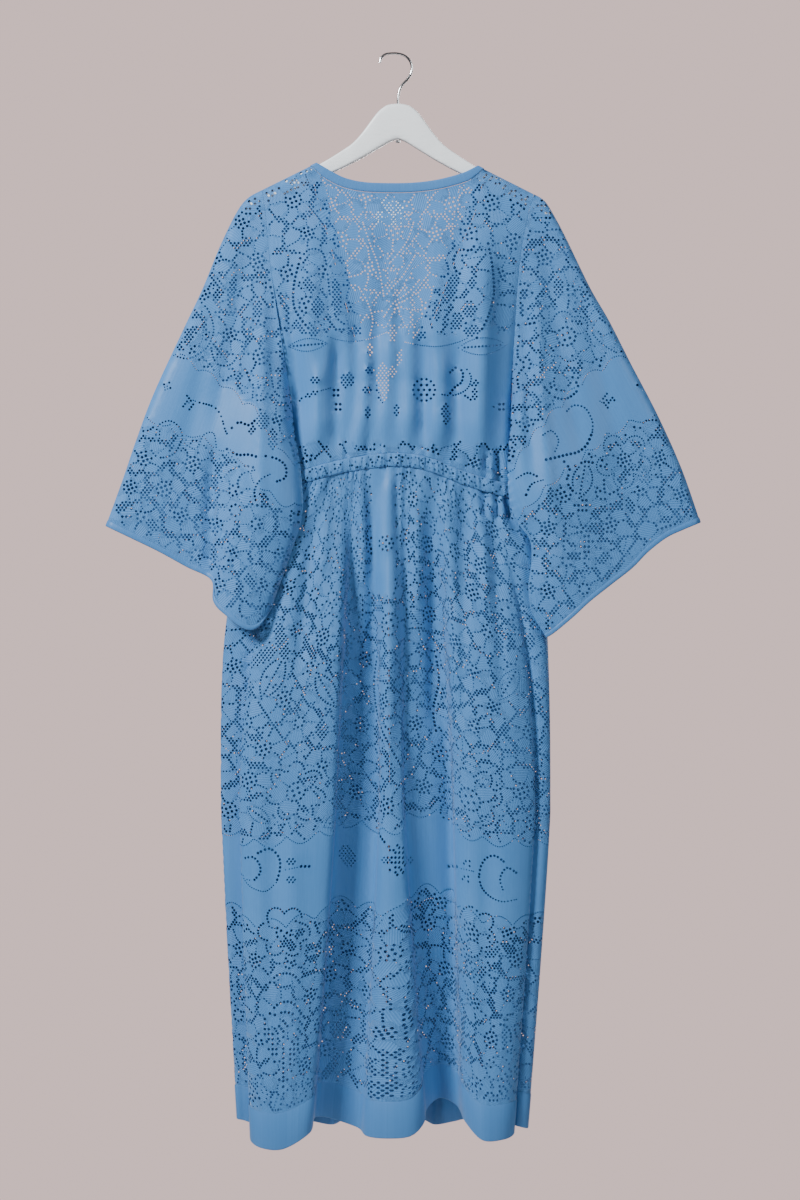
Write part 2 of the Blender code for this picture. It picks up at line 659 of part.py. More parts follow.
def bodice_relief(top, bottom, left, right, columns, rows, folds, side):
    """A bodice panel stretched between its seams, with its folds, clear of the wood."""
    high = [line.copy() for line in (top, bottom, left, right)]
    high[0][:, 1] = side * NECK_DEPTH
    for line in high[2:]:
        above = rows < UNDERARM / 2
        line[above, 1] = side * np.maximum(np.abs(line[above, 1]), NECK_DEPTH)
        line[0, 1] = side * NECK_DEPTH
    grid = patch(*high, columns, rows)
    folds = table(folds)
    folds = np.column_stack((folds[:, 0], np.zeros(len(folds)), folds[:, 1:], np.zeros(len(folds))))
    grid[:, :, 1] += side * relief(FOLD_HEIGHTS, folds, rows, columns)
    held = np.maximum(np.abs(grid[:, :, 1]), TURN_DEPTH)
    near_wood = np.clip((WOOD_REACH - rows) / WOOD_EASE, 0.0, 1.0)[:, None]
    grid[:, :, 1] = side * held * near_wood + grid[:, :, 1] * (1 - near_wood)
    ends = np.minimum(1.0, np.minimum(columns, 1 - columns) / GATHER_ENDS)[None]
    grid[:, :, 1] += gathers(columns, rows, from_bottom=True) * ends
    return grid


def turned(depth, rows, side):
    """Brings the top rows of a panel over the wood to the shoulder seam."""
    return side * HALF_GAP + (depth - side * HALF_GAP) * turn(rows)[:, None]


def front_edge(hand, rows):
    """Outer edge of the front band from the shoulder down to the waist, x and z."""
    inner = along(FRONT_V[hand], rows)
    ahead = along(FRONT_V[hand], np.minimum(rows + BAND_STEP, 1.0))
    behind = along(FRONT_V[hand], np.maximum(rows - BAND_STEP, 0.0))
    way = ahead - behind
    way /= np.linalg.norm(way, axis=1)[:, None]
    out = np.column_stack((way[:, 1], -way[:, 0])) * (1 if hand == "left" else -1)
    corner = shoulder_corner(hand) - inner[0]
    mix = turned_out(rows)
    outer = inner + out * BAND_WIDTH * (1 - mix) + corner * mix
    outer[-1, 1] = inner[-1, 1]
    return inner, outer


def front_depth(rows):
    """Stand-off of the front band, turning over the wood and easing to the waist."""
    depths = table(FRONT_DEPTHS)
    ease = np.interp(rows, depths[:, 0], depths[:, 1])
    return HALF_GAP + (ease - HALF_GAP) * turn(rows)


def front_bodice_surface(hand):
    columns = np.linspace(0, 1, FRONT_BODICE_COLUMNS + 1)
    rows = np.array(BODICE_ROWS)
    side = bodice_side(hand, 1, rows)
    inner, outer = front_edge(hand, rows)
    edge = three(outer, front_depth(rows))
    tip = side[0]
    steps = columns[:, None]
    top = tip * (1 - steps) + edge[0] * steps
    start = 0.0 if hand == "left" else 1.0
    stop = waist_share(edge[-1, 0])
    bottom = waist_line(start + (stop - start) * columns, 1)
    bottom[:, 2] += SEAM
    edge[-1] = bottom[-1]
    side[-1] = bottom[0]
    grid = bodice_relief(top, bottom, side, edge, columns, rows, FRONT_BODICE_FOLDS, 1)
    grid[:, :, 1] = turned(grid[:, :, 1], rows, 1)
    grid[:, 0] = side
    grid[:, -1] = edge
    inward = HALF_GAP if hand == "left" else -HALF_GAP
    grid[:, 0, 0] += inward
    grid[:, -1, 0] -= inward
    if hand == "right":
        grid = grid[:, ::-1]
    return grid


def sleeve_surface(hand, side, folds):
    """Half a sleeve: rows run from the armhole to the cuff, columns from the outer edge in."""
    rows = np.array(SLEEVE_ROWS)
    columns = np.array(SLEEVE_COLUMNS)
    top = armhole(hand, side, columns)
    seam_table = table(UNDER_SEAM)
    seam = np.interp(rows, seam_table[:, 0], seam_table[:, 1]) + side * HALF_GAP
    seam[0] = top[-1, 1]
    left = three(along(OUTER_EDGE[hand], rows), side * HALF_GAP)
    right = three(along(UNDER_EDGE[hand], rows), seam)
    bottom = three(along(CUFF[hand], columns), 0.0)
    bottom[0] = left[-1]
    bottom[-1] = right[-1]
    grid = patch(top, bottom, left, right, columns, rows)
    at = np.interp(columns, SLEEVE_SHARES, np.arange(len(SLEEVE_SHARES)))
    levels = np.concatenate((top[None, :, 1], spline(np.array(folds, float).T, at).T))
    depth = spline(levels, np.interp(rows, SLEEVE_FOLD_ROWS, np.arange(len(SLEEVE_FOLD_ROWS))))
    grid[:, :, 1] = depth
    grid[:, 0, 1] = side * HALF_GAP
    grid[:, -1, 1] = seam
    grid[0] = top
    grid[0, :, 0] += -HALF_GAP if hand == "left" else HALF_GAP
    return grid


def casing(name, waist, look, home):
    """Gathered channel at the waist: a puffed band that swells and pinches along its length."""
    rings = []
    count = len(waist)
    for i, (x, y, z) in enumerate(waist):
        phase = i * 2 * math.pi / GATHER_COLUMNS
        near_end = min(i, count - 1 - i)
        swell = CASING_BELLY * (1 + PUFF_UNEVEN * math.sin(phase + PUFF_START))
        swell *= min(1.0, PUFF_END + PUFF_STEP * near_end)
        wave = GATHER_WAVE * math.sin(phase + GATHER_START) * min(1.0, near_end / PUFF_CALM)
        rings.append([
            (x, y - CLOTH / 2, z), (x, y + wave - swell, z - CASING_HEIGHT / 2),
            (x, y - CLOTH / 2, z - CASING_HEIGHT), (x, y + CLOTH / 2, z - CASING_HEIGHT),
            (x, y + wave + swell, z - CASING_HEIGHT / 2), (x, y + CLOTH / 2, z),
        ])
    return loft(name, rings, look, home)


def casing_line(start, stop, count, side):
    """Upper edge of one stretch of the channel, kept clear of the other side's channel."""
    shares = np.linspace(start, stop, count + 1)
    line = waist_line(shares, side)
    least = CASING_BELLY * CASING_CLEAR + HALF_GAP
    line[:, 1] = side * np.maximum(np.abs(line[:, 1]), least)
    return line


def neck_band(look, home):
    """Back neck band: a folded strip whose ends cross the wood at the shoulders."""
    top, first, last = back_top()
    lower = top[first:last + 1].copy()
    shares = neck_shares(last - first - 1)
    upper = np.empty_like(lower)
    upper[1:-1] = three(along(NECK, shares), lower[1:-1, 1])
    upper[0] = (NECK[0][0], -HALF_GAP, NECK[0][1])
    upper[-1] = (NECK[-1][0], -HALF_GAP, NECK[-1][1])
    way = lower - upper
    way /= np.linalg.norm(way, axis=1)[:, None]
    lower = lower - way * BAND_SEAM
    grid = np.stack((upper, (upper + lower) / 2, lower))
    crossing = ["y"] + ["xz"] * (len(upper) - 2) + ["y"]
    return wall("neckband_back", grid, BAND_WALL, look, home, bottom=crossing,
                left="y", right="y")


def front_band(hand, look, home):
    """Front band: the same strip down the open front edge to the waist."""
    rows = np.array(BODICE_ROWS)
    inner, outer = front_edge(hand, rows)
    depth = front_depth(rows)
    way = inner - outer
    outer = outer + way / np.linalg.norm(way, axis=1)[:, None] * BAND_SEAM
    inner[-1, 1] = waist_height(inner[-1, 0]) + SEAM
    outer[-1, 1] = waist_height(outer[-1, 0]) + SEAM
    grid = np.stack((three(outer, depth), three((inner + outer) / 2, depth), three(inner, depth)),
                    axis=1)
    crossing = ["y"] + ["xz"] * (len(rows) - 1)
    if hand == "right":
        grid = grid[:, ::-1]
    return wall(f"neckband_front_{hand}", grid, BAND_WALL, look, home, top="y",
                left=crossing, right=crossing)


def hanger(look, home):
    """Wooden hanger: bevelled sections from one tip to the other."""
    rings = []
    half = table(HANGER)
    for row in np.concatenate((half[:0:-1] * (-1, 1, 1, 1), half)):
        x, top, bottom, thick = row
        droop = RIGHT_ARM_DROOP * max(x, 0.0)
        top -= droop
        bottom -= droop
        bevel = min(WOOD_CHAMFER, (top - bottom) * CHAMFER_SHARE)
        rings.append([
            (x, -thick + bevel, top), (x, thick - bevel, top), (x, thick, top - bevel),
            (x, thick, bottom + bevel), (x, thick - bevel, bottom), (x, -thick + bevel, bottom),
            (x, -thick, bottom + bevel), (x, -thick, top - bevel),
        ])
    return loft("hanger_wood", rings, look, home)


def hook(look, home):
    """Hook: one bent wire."""
    curve = bpy.data.curves.new("hanger_hook", "CURVE")
    curve.dimensions = "3D"
    curve.bevel_depth = HOOK_WIRE * MM
    curve.bevel_resolution = HOOK_ROUND
    curve.use_fill_caps = True
    line = along(HOOK, np.linspace(0, 1, HOOK_POINTS))
    path = curve.splines.new("POLY")
    path.points.add(len(line) - 1)
    for point, (x, z) in zip(path.points, line):
        point.co = (x * MM, 0.0, z * MM, 1.0)
    curve.materials.append(look)
    made = bpy.data.objects.new("hanger_hook", curve)
    home.objects.link(made)
    return made


def nut(look, home):
    """Screw end under the middle of the wood."""
    angles = np.arange(NUT_SIDES) * 2 * math.pi / NUT_SIDES
    rings = []
    for z in (NUT_TOP, NUT_TOP - NUT_HEIGHT):
        rings.append([(NUT_RADIUS * math.cos(a), NUT_RADIUS * math.sin(a), z) for a in angles])
    return loft("hanger_nut", rings, look, home)


def hole_spots(name):
    """Middles of all the large holes in one piece."""
    spots = []
    for x, z in FLOWERS.get(name, []):
        spots.append((x, z))
        for i in range(PETALS):
            angle = 2 * math.pi * (i + PETAL_TURN) / PETALS
            spots.append((x + RING_RADIUS * math.cos(angle), z + RING_RADIUS * math.sin(angle)))
    for x, z, radius, first, last, count in SCROLLS.get(name, []):
        for angle in np.radians(np.linspace(first, last, count)):
            spots.append((x + radius * math.cos(angle), z + radius * math.sin(angle)))
    return spots


def cut_holes(panel, grid, home):
    """Cuts the large holes of one panel with a set of square bars that pass through its wall."""
    half = HOLE_SIDE / math.sqrt(2)
    flat = grid.reshape(-1, 3)
    points = []
    faces = []
    for x, z in hole_spots(panel.name):
        nearest = np.argsort(np.hypot(flat[:, 0] - x, (flat[:, 2] - z) / CELL_TALL))[:4]
        y = flat[nearest, 1].mean()
        start = len(points)
        for depth in (y - CUT_REACH, y + CUT_REACH):
            points += [(x - half, depth, z), (x, depth, z - half), (x + half, depth, z),
                       (x, depth, z + half)]
        faces += [(start, start + 1, start + 2, start + 3),
                  (start + 7, start + 6, start + 5, start + 4)]
        for i in range(4):
            j = (i + 1) % 4
            faces.append((start + j, start + i, start + 4 + i, start + 4 + j))
    cutter = solid(f"{panel.name}_holes", points, faces, panel.data.materials[0], home)
    cutter.hide_render = True
    cutter.display_type = "WIRE"
    through = panel.modifiers.new("lace holes", "BOOLEAN")
    through.operation = "DIFFERENCE"
    through.solver = "EXACT"
    through.object = cutter


for old in list(bpy.data.objects):
    bpy.data.objects.remove(old, do_unlink=True)

robe = collection("robe_on_hanger")
cutters = collection("robe_cutters")
lace = material("lace_blue", BLUE, 0.55, 0.0)
plain = material("band_blue", BLUE, 0.6, 0.0)
white = material("white_wood", WHITE, 0.4, 0.0)
chrome = material("chrome", STEEL, 0.15, 1.0)

hanger(white, robe)
hook(chrome, robe)
nut(chrome, robe)

side_seams = ["x" if row <= UNDERARM else "y" for row in BODICE_ROWS]
top_edge = ["y"] * (BODICE_COLUMNS + 1)
_, first_neck, last_neck = back_top()
top_edge[first_neck + 1:last_neck] = ["xz"] * (last_neck - first_neck - 1)
panels = {}
grid = back_bodice_surface()
panels["bodice_back"] = (grid, dict(top=top_edge, bottom="z", left=side_seams, right=side_seams))
grid = back_skirt_surface()
panels["skirt_back"] = (grid, dict(top="z", left="y", right="y"))
band_edge = ["y"] + ["xz"] * (len(BODICE_ROWS) - 1)
under_seam = ["x"] + ["y"] * (len(SLEEVE_ROWS) - 1)
sleeves = {
    "sleeve_left_back": ("left", -1, SLEEVE_LEFT_BACK),
    "sleeve_left_front": ("left", 1, SLEEVE_LEFT_FRONT),
    "sleeve_right_back": ("right", -1, SLEEVE_RIGHT_BACK),
    "sleeve_right_front": ("right", 1, SLEEVE_RIGHT_FRONT),
}
for hand, outer, inner in (("left", "left", "right"), ("right", "right", "left")):
    panels[f"bodice_front_{hand}"] = (front_bodice_surface(hand),
                                      {"top": "y", "bottom": "z", outer: side_seams,
                                       inner: band_edge})
    panels[f"skirt_front_{hand}"] = (front_skirt_surface(hand),
                                     {"top": "z", outer: "y", inner: "x"})
    front_band(hand, plain, robe)
for name, (hand, side, folds) in sleeves.items():
    panels[name] = (sleeve_surface(hand, side, folds), dict(top="x", left="y", right=under_seam))
for name, (grid, edges) in panels.items():
    cut_holes(wall(name, grid, CLOTH, lace, robe, **edges), grid, cutters)

neck_band(plain, robe)
casing("casing_back", casing_line(0.0, 1.0, SKIRT_COLUMNS, -1), plain, robe)
meets = waist_share(FRONT_MEETS["waist"] - HALF_GAP)
casing("casing_front_left", casing_line(0.0, meets, FRONT_SKIRT_COLUMNS, 1), plain, robe)
meets = waist_share(FRONT_MEETS["waist"] + HALF_GAP)
casing("casing_front_right", casing_line(1.0, meets, FRONT_SKIRT_COLUMNS, 1), plain, robe)
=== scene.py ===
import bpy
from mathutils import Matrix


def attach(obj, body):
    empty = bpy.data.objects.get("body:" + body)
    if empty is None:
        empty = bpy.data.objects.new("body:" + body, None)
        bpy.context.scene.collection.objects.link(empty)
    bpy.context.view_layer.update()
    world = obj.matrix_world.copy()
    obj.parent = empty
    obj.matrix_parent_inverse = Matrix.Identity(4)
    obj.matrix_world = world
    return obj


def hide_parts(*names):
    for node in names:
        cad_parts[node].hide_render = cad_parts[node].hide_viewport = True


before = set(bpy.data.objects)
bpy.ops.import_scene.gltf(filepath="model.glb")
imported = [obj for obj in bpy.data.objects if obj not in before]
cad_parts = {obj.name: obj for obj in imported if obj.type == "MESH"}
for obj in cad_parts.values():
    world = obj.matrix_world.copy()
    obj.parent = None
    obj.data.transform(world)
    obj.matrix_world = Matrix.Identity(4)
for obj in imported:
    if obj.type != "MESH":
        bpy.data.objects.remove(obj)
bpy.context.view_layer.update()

# %% [markdown]
# ## Units
# The tables are in millimetres, because that is how a dressmaker thinks. One factor turns
# them into Blender's metres at the very end.
# %% Units and imports
import math

import bpy
import numpy as np
from mathutils import Vector
from mathutils.geometry import delaunay_2d_cdt
from mathutils.kdtree import KDTree

MM = 0.001
SEAM = 0.3             # clear gap between two pieces at a seam
HALF_GAP = SEAM / 2
END = {"left": 0, "right": -1}      # that hand's end of a table that runs from left to right
OUT = {"left": -1, "right": 1}      # that hand's way along x
rng = np.random.default_rng(11)

# %% [markdown]
# ## Smooth lines from short tables
# A seam is a smooth line through a few measured points. `spline` runs through them, and
# `along` walks it by shares of its length, which is how a tape measure would.
# %% Lines


def spline(rows, at):
    rows = np.asarray(rows, float)
    last = len(rows) - 1
    at = np.clip(np.asarray(at, float), 0.0, last)
    low = np.minimum(at.astype(int), last - 1)
    part = (at - low)[:, None]
    before, start = rows[np.maximum(low - 1, 0)], rows[low]
    end, after = rows[low + 1], rows[np.minimum(low + 2, last)]
    square, cube = part * part, part * part * part
    first = (2 * cube - 3 * square + 1) * start + (cube - 2 * square + part) * (end - before) / 2
    return first + (3 * square - 2 * cube) * end + (cube - square) * (after - start) / 2


def lengths(points):
    steps = np.linalg.norm(np.diff(np.asarray(points, float), axis=0), axis=1)
    return np.concatenate(([0.0], np.cumsum(steps)))


def along(points, shares):
    walked = lengths(points)
    return spline(points, np.interp(np.asarray(shares, float) * walked[-1], walked,
                                    np.arange(len(points))))


def table(rows, first=0):
    return np.array([row[first:] for row in rows], float)


def three(points, depth):
    points = np.asarray(points, float)
    depth = np.broadcast_to(np.asarray(depth, float), (len(points),))
    return np.column_stack((points[:, 0], depth, points[:, 1]))


def smooth_step(value):
    value = np.clip(value, 0.0, 1.0)
    return value * value * (3 - 2 * value)


def from_ends(shares, reach):
    """Rises from 0 at both ends of a seam to 1 within the reach."""
    return np.minimum(1.0, np.minimum(shares, 1 - shares) / reach)


def unit(vectors):
    return vectors / np.linalg.norm(vectors, axis=1)[:, None]


def square_to(points, shares, step):
    """Unit directions at right angles to a line drawn in x and z."""
    way = unit(along(points, np.minimum(shares + step, 1.0))
               - along(points, np.maximum(shares - step, 0.0)))
    return np.column_stack((way[:, 1], -way[:, 0]))


def mixed(phase, waves):
    """Waves of several heights, paces and starts laid over each other."""
    return sum(height * np.sin(pace * phase + start) for height, pace, start in waves)


def patch(top, bottom, left, right, columns, rows):
    """A surface stretched between four seam lines that share their corners."""
    across = np.asarray(columns)[None, :, None]
    down = np.asarray(rows)[:, None, None]
    corners = ((1 - down) * (1 - across) * top[0] + (1 - down) * across * top[-1]
               + down * (1 - across) * bottom[0] + down * across * bottom[-1])
    return ((1 - down) * top[None] + down * bottom[None]
            + (1 - across) * left[:, None] + across * right[:, None] - corners)


def relief(heights, folds, rows, columns):
    """Fold depths from a small table, smoothed in both directions."""
    row_at = np.interp(rows, heights, np.arange(len(heights)))
    column_at = np.interp(columns, folds[:, 0], np.arange(len(folds)))
    return spline(spline(folds[:, 1:].T, row_at).T, column_at).T


# %% [markdown]
# ## The garment's measures
# Each row is a fold or a seam point as it hangs on the real robe: x to the right, y from
# the back to the open front, z up from the hook. The skirt has its knee line halfway down.
# %% Measures of the skirt
# fold, knee x, knee y, hem x, hem y, hem z
SKIRT_BACK = [
    ("side seam left", -251, 14, -228, 14, -1513), ("strip left", -251, 2, -228, -2, -1511),
    ("strip inner left", -231, -4, -216, -6, -1513), ("turn left", -217, -8, -203, -12, -1519),
    ("edge left", -224, -22, -208, -28, -1535), ("face left", -202, -37, -191, -45, -1543),
    ("face left middle", -159, -41, -160, -50, -1543),
    ("face left inner", -92, -39, -124, -44, -1522),
    ("hollow left", -84, -4, -114, -4, -1507), ("hollow left inner", -33, 0, -60, -2, -1522),
    ("rise centre", -25, -20, -44, -27, -1530), ("face centre", -15, -29, -14, -43, -1530),
    ("face centre inner", -3, -29, 18, -46, -1526), ("edge centre", 6, -25, 36, -34, -1511),
    ("turn centre", 12, -11, 41, -14, -1494), ("hollow right", 42, 0, 60, 8, -1483),
    ("hollow right inner", 74, 4, 84, 6, -1494), ("rise right", 82, -27, 95, -27, -1510),
    ("face right", 114, -39, 118, -48, -1531), ("face right middle", 160, -40, 147, -46, -1531),
    ("edge right", 192, -28, 163, -32, -1526), ("turn right", 191, -15, 160, -18, -1516),
    ("strip inner right", 202, -21, 170, -24, -1517), ("strip right", 215, -15, 183, -17, -1521),
    ("side seam right", 216, 14, 184, 14, -1523),
]
# fold, knee share of the half width, knee y, hem share, hem y, hem z
SKIRT_FRONT = [
    ("side seam", 1.00, 14, 1.00, 14, -1517), ("side turn", 1.00, 25, 1.00, 27, -1517),
    ("strip", 0.92, 31, 0.92, 33, -1519), ("fold one", 0.83, 48, 0.82, 56, -1528),
    ("fold one inner", 0.70, 53, 0.69, 62, -1532), ("hollow one", 0.58, 34, 0.58, 35, -1519),
    ("rise two", 0.49, 46, 0.49, 52, -1526), ("fold two", 0.37, 55, 0.36, 64, -1533),
    ("hollow two", 0.26, 36, 0.27, 36, -1520), ("fold three", 0.16, 48, 0.16, 55, -1527),
    ("front edge turn", 0.07, 45, 0.07, 50, -1526), ("front edge", 0.00, 42, 0.00, 46, -1525),
]
SKIRT_LENGTH = 930.0
FRONT_MEETS = {"waist": -15.0, "knee": -12.0, "hem": -20.0}   # x where the fronts meet
KNEE = 0.5             # share of the skirt's height at the knee line
KNEE_POINTS = 1200     # points along it, to measure the cloth
FOLDS_START, FOLDS_GROWN = 0.02, 0.30   # shares of the height where folds begin and are full
FLARE, SIDE_FLARE, SIDE_FLARE_POWER, HEM_LEAN = 1.05, 4.0, 6, 1.15
# share of the cloth and the share of the waist to which it is gathered
WAIST_PULL = [(0, 0), (0.31, 0.25), (0.43, 0.33), (0.53, 0.46), (0.69, 0.65), (1, 1)]

# %% [markdown]
# The waist, the neck and the open V are seam lines. The folds of the bodice are depths at
# shares of its width, and they fade toward its seams.
# %% Measures of the bodice, the neck and the waist
WAIST = [(-150, -594), (-118, -585), (-82, -576), (-40, -569), (3, -566), (45, -573),
         (88, -590), (125, -602), (166, -612)]
CASING_HEIGHT, CASING_BELLY, WAIST_DEPTH, WAIST_TURN = 20.0, 2.6, 14.0, 0.12
CASING_ROUND = 52.0    # cloth round the tube
NECK = [(-116, -154), (-94, -167), (-74, -176.6), (-47, -182.3), (-11, -183.7), (23, -182.9),
        (57, -178.5), (91, -169.3), (114, -158.2)]
FRONT_V = {
    "left": [(-116, -154), (-105, -187), (-94, -225), (-81, -273), (-66, -331), (-50, -390),
             (-31, -462), (-17, -507), (-15.3, -540), (-15.3, -568)],
    "right": [(114, -158), (105, -190), (95, -222), (75, -268), (59, -310), (40, -363),
              (3, -462), (-12, -507), (-14.7, -540), (-14.7, -568)],
}
BODICE_LENGTH, BACK_WIDTH, FRONT_WIDTH = 400.0, 372.0, 165.0
# share of width, below the neck, at the shoulder blades, above the waist
BODICE_FOLDS = [
    (0.00, 0, 0, 0), (0.05, 1, 3, 2), (0.12, 1, 12, 9), (0.20, 1, 9, 12), (0.28, 1, 10, 6),
    (0.36, 2, 5, 12), (0.43, 2, 8, 5), (0.50, 2, 10, 13), (0.57, 2, 5, 6), (0.65, 3, 9, 13),
    (0.72, 1, 6, 6), (0.80, 1, 11, 12), (0.88, 1, 10, 8), (0.95, 1, 3, 2), (1.00, 0, 0, 0),
]
FRONT_BODICE_FOLDS = [
    (0.00, 0, 0, 0), (0.12, 3, 6, 4), (0.30, 5, 10, 12), (0.48, 4, 6, 5), (0.66, 4, 8, 12),
    (0.84, 3, 3, 4), (1.00, 0, 0, 0),
]
FOLD_HEIGHTS = (0.0, 0.10, 0.42, 0.86, 1.0)
TURN_DEPTH, NECK_DEPTH, CORNER_DEPTH, TURN_SHARE = 7.6, 9.5, 8.4, 0.03
UNDERARM, SIDE_JOIN, WOOD_REACH, WOOD_EASE, NECK_EASE = 0.75, 0.3, 0.45, 0.15, 0.1
BAND_WIDTH, BAND_CORNER, BAND_TURN_START, BAND_TURN, BAND_STEP = 14.0, 0.75, 0.02, 0.07, 0.02
BAND_SEAM, NECK_END = 0.48, 0.012
SIDE_CALM = 0.05       # share of the width beside the side seams with lower waves
CORNER_LEFT, CORNER_RIGHT = 8 / 36, 28 / 36     # shares of the back at the neck's corners
CORNER_STEP = 1 / 36
FRONT_DEPTHS = [(0.0, TURN_DEPTH), (0.1, 11.0), (0.5, 15.0), (1.0, WAIST_DEPTH)]

# %% [markdown]
# Four seam lines bound each sleeve: armhole, folded outer edge, underarm seam and cuff. The
# folds are depths at shares of its width, in four rows from the shoulder to the cuff.
# %% Measures of the sleeves
ARMHOLE = {
    "left": [(-193, -192), (-188, -225), (-184, -270), (-178, -320), (-169, -380),
             (-160, -435), (-152, -490)],
    "right": [(193, -198), (184, -230), (175, -275), (169, -330), (165, -390), (162, -440),
              (161, -490)],
}
OUTER_EDGE = {
    "left": [(-193, -192), (-214, -204), (-230, -225), (-253, -272), (-278, -333), (-305, -390),
             (-347, -481), (-373, -550), (-390, -600), (-415, -669)],
    "right": [(193, -198), (209, -208), (226, -236), (240, -263), (273, -331), (300, -378),
              (331, -439), (369, -512), (403, -588), (429.5, -664)],
}
UNDER_EDGE = {
    "left": [(-152, -490), (-149, -512), (-146, -540), (-140, -572), (-136, -605), (-134, -640),
             (-138, -670), (-147, -697), (-160, -735), (-170, -762), (-178, -785)],
    "right": [(161, -490), (160, -512), (158, -540), (155, -572), (155, -605), (158, -636),
              (168, -664), (186, -690), (188, -722), (184, -754), (188, -790), (209, -827)],
}
CUFF = {
    "left": [(-415, -669), (-375, -688), (-338, -706), (-300, -727), (-264, -746), (-259, -777),
             (-241, -796), (-214, -815), (-195, -811), (-178, -785)],
    "right": [(429.5, -664), (403, -675), (380, -686), (354, -706), (331, -729), (301, -752),
              (270, -776), (247, -797), (220, -820), (209, -827)],
}
ARMHOLE_DEPTH = [(0.0, 0.0), (0.008, 5.4), (0.024, 8.2), (0.08, 10.0), (0.24, 13.0),
                 (0.49, 14.0), (0.75, 11.0), (1.0, 1.2)]
SLEEVE_SHARES = (0.0, 0.03, 0.12, 0.30, 0.42, 0.50, 0.57, 0.64, 0.80, 0.93, 1.0)
SLEEVE_FOLD_ROWS = (0.0, 0.25, 0.5, 0.75, 1.0)
SLEEVE_FOLDS = {
    ("left", -1): [(0, -9, -13, -14, -16, -21, -26, -29, -32, -24, -14),
                   (0, -9, -13, -14, -22, -31, -36, -39, -42, -32, -20),
                   (0, -9, -12, -12, -14, -22, -34, -41, -45, -37, -25),
                   (0, -8, -11, -11, -10, -13, -22, -38, -48, -41, -28)],
    ("left", 1): [(0, 9, 12, 13, 12, 10, 6, 2, -4, -9, -14),
                  (0, 9, 11, 12, 4, -4, -10, -14, -18, -19, -20),
                  (0, 9, 11, 12, 8, -2, -14, -20, -23, -24, -25),
                  (0, 8, 10, 11, 10, 4, -10, -22, -25, -27, -28)],
    ("right", -1): [(0, -9, -13, -17, -19, -21, -23, -26, -30, -24, -14),
                    (0, -9, -13, -19, -24, -27, -30, -33, -37, -30, -20),
                    (0, -9, -12, -15, -20, -25, -30, -34, -39, -33, -25),
                    (0, -8, -10, -13, -17, -22, -27, -33, -40, -36, -28)],
    ("right", 1): [(0, 9, 12, 13, 13, 11, 9, 7, 2, -7, -14),
                   (0, 9, 11, 13, 12, 10, 7, 3, -8, -17, -20),
                   (0, 9, 11, 13, 13, 11, 7, 2, -12, -22, -25),
                   (0, 8, 10, 13, 14, 12, 9, 4, -12, -24, -28)],
}
SLEEVE_LENGTH, SLEEVE_WIDTH = 400.0, 300.0
UNDER_SEAM = [(0.0, 0.0), (0.06, -8.5), (0.18, -16.0), (0.38, -20.0), (0.6, -23.0), (1.0, -28.0)]

# %% [markdown]
# ## Gathers
# A gathered seam squeezes the cloth into small waves that die away within a few
# centimetres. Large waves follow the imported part; fine puckers of uneven height ride on
# them, as they do where a cord is drawn.
# %% Gathers and waist
# height, pace and start of the waves that are laid over each other
GATHERS = [(4.6, 1.0, 0.6), (2.76, 0.61, 1.3), (1.84, 1.43, 0.0)]
PUCKERS = [(0.9, 2.3, 1.1), (0.63, 3.7, 0.4), (0.45, 5.9, 2.2)]
SEAM_PINCH = 14.0      # the waves reach their height this far from the seam, mm
PINCHED = 0.75         # share of their height that the seam takes away
PUCKER_FADE = 26.0     # how far the puckers reach from the seam, mm
PUCKER_END = 0.04      # share of a seam over which they start
SKIRT_REACH, BODICE_REACH = 130.0, 110.0    # how far the waves reach, mm
BACK_WAVES, FRONT_WAVES = 18, 6             # half waves across each part of the bodice
FRONT_PACE = 10 / 11                        # half waves for each fold of a front skirt


def gather(grid, phase, shares, distance, reach, calm=1.0):
    """Adds the waves and puckers of a gathered seam that lies at the given distance, mm."""
    height = mixed(phase, GATHERS) * (0.65 + 0.35 * np.sin(phase * 0.37))
    height = height * from_ends(shares, WAIST_TURN)
    swell = np.exp(-distance / reach) * (1 - PINCHED * np.exp(-distance / SEAM_PINCH))
    fine = mixed(phase, PUCKERS) * (1 + 0.4 * np.sin(0.61 * phase)) * from_ends(shares, PUCKER_END)
    grid[:, :, 1] += swell[:, None] * height[None] * calm
    grid[:, :, 1] += np.exp(-distance / PUCKER_FADE)[:, None] * fine[None]


def waist_line(shares, side):
    rise = np.sqrt(from_ends(shares, WAIST_TURN))
    return three(along(WAIST, shares), side * (HALF_GAP + (WAIST_DEPTH - HALF_GAP) * rise))


def waist_share(x):
    walked = lengths(WAIST)
    return float(np.interp(x, np.array(WAIST, float)[:, 0], walked / walked[-1]))


def front_waist(hand, meet, shares):
    """The waist of one front, from its side seam to where the fronts meet."""
    start = -END[hand]
    return waist_line(start + (waist_share(meet) - start) * shares, 1)


# %% [markdown]
# ## Skirts
# The back skirt falls from the gathers into three broad folds with hollows between them
# and a narrow strip at each side. The table gives every fold at the knee line and at the
# hem, and the cloth between eases from one to the other.
# %% Skirt surfaces


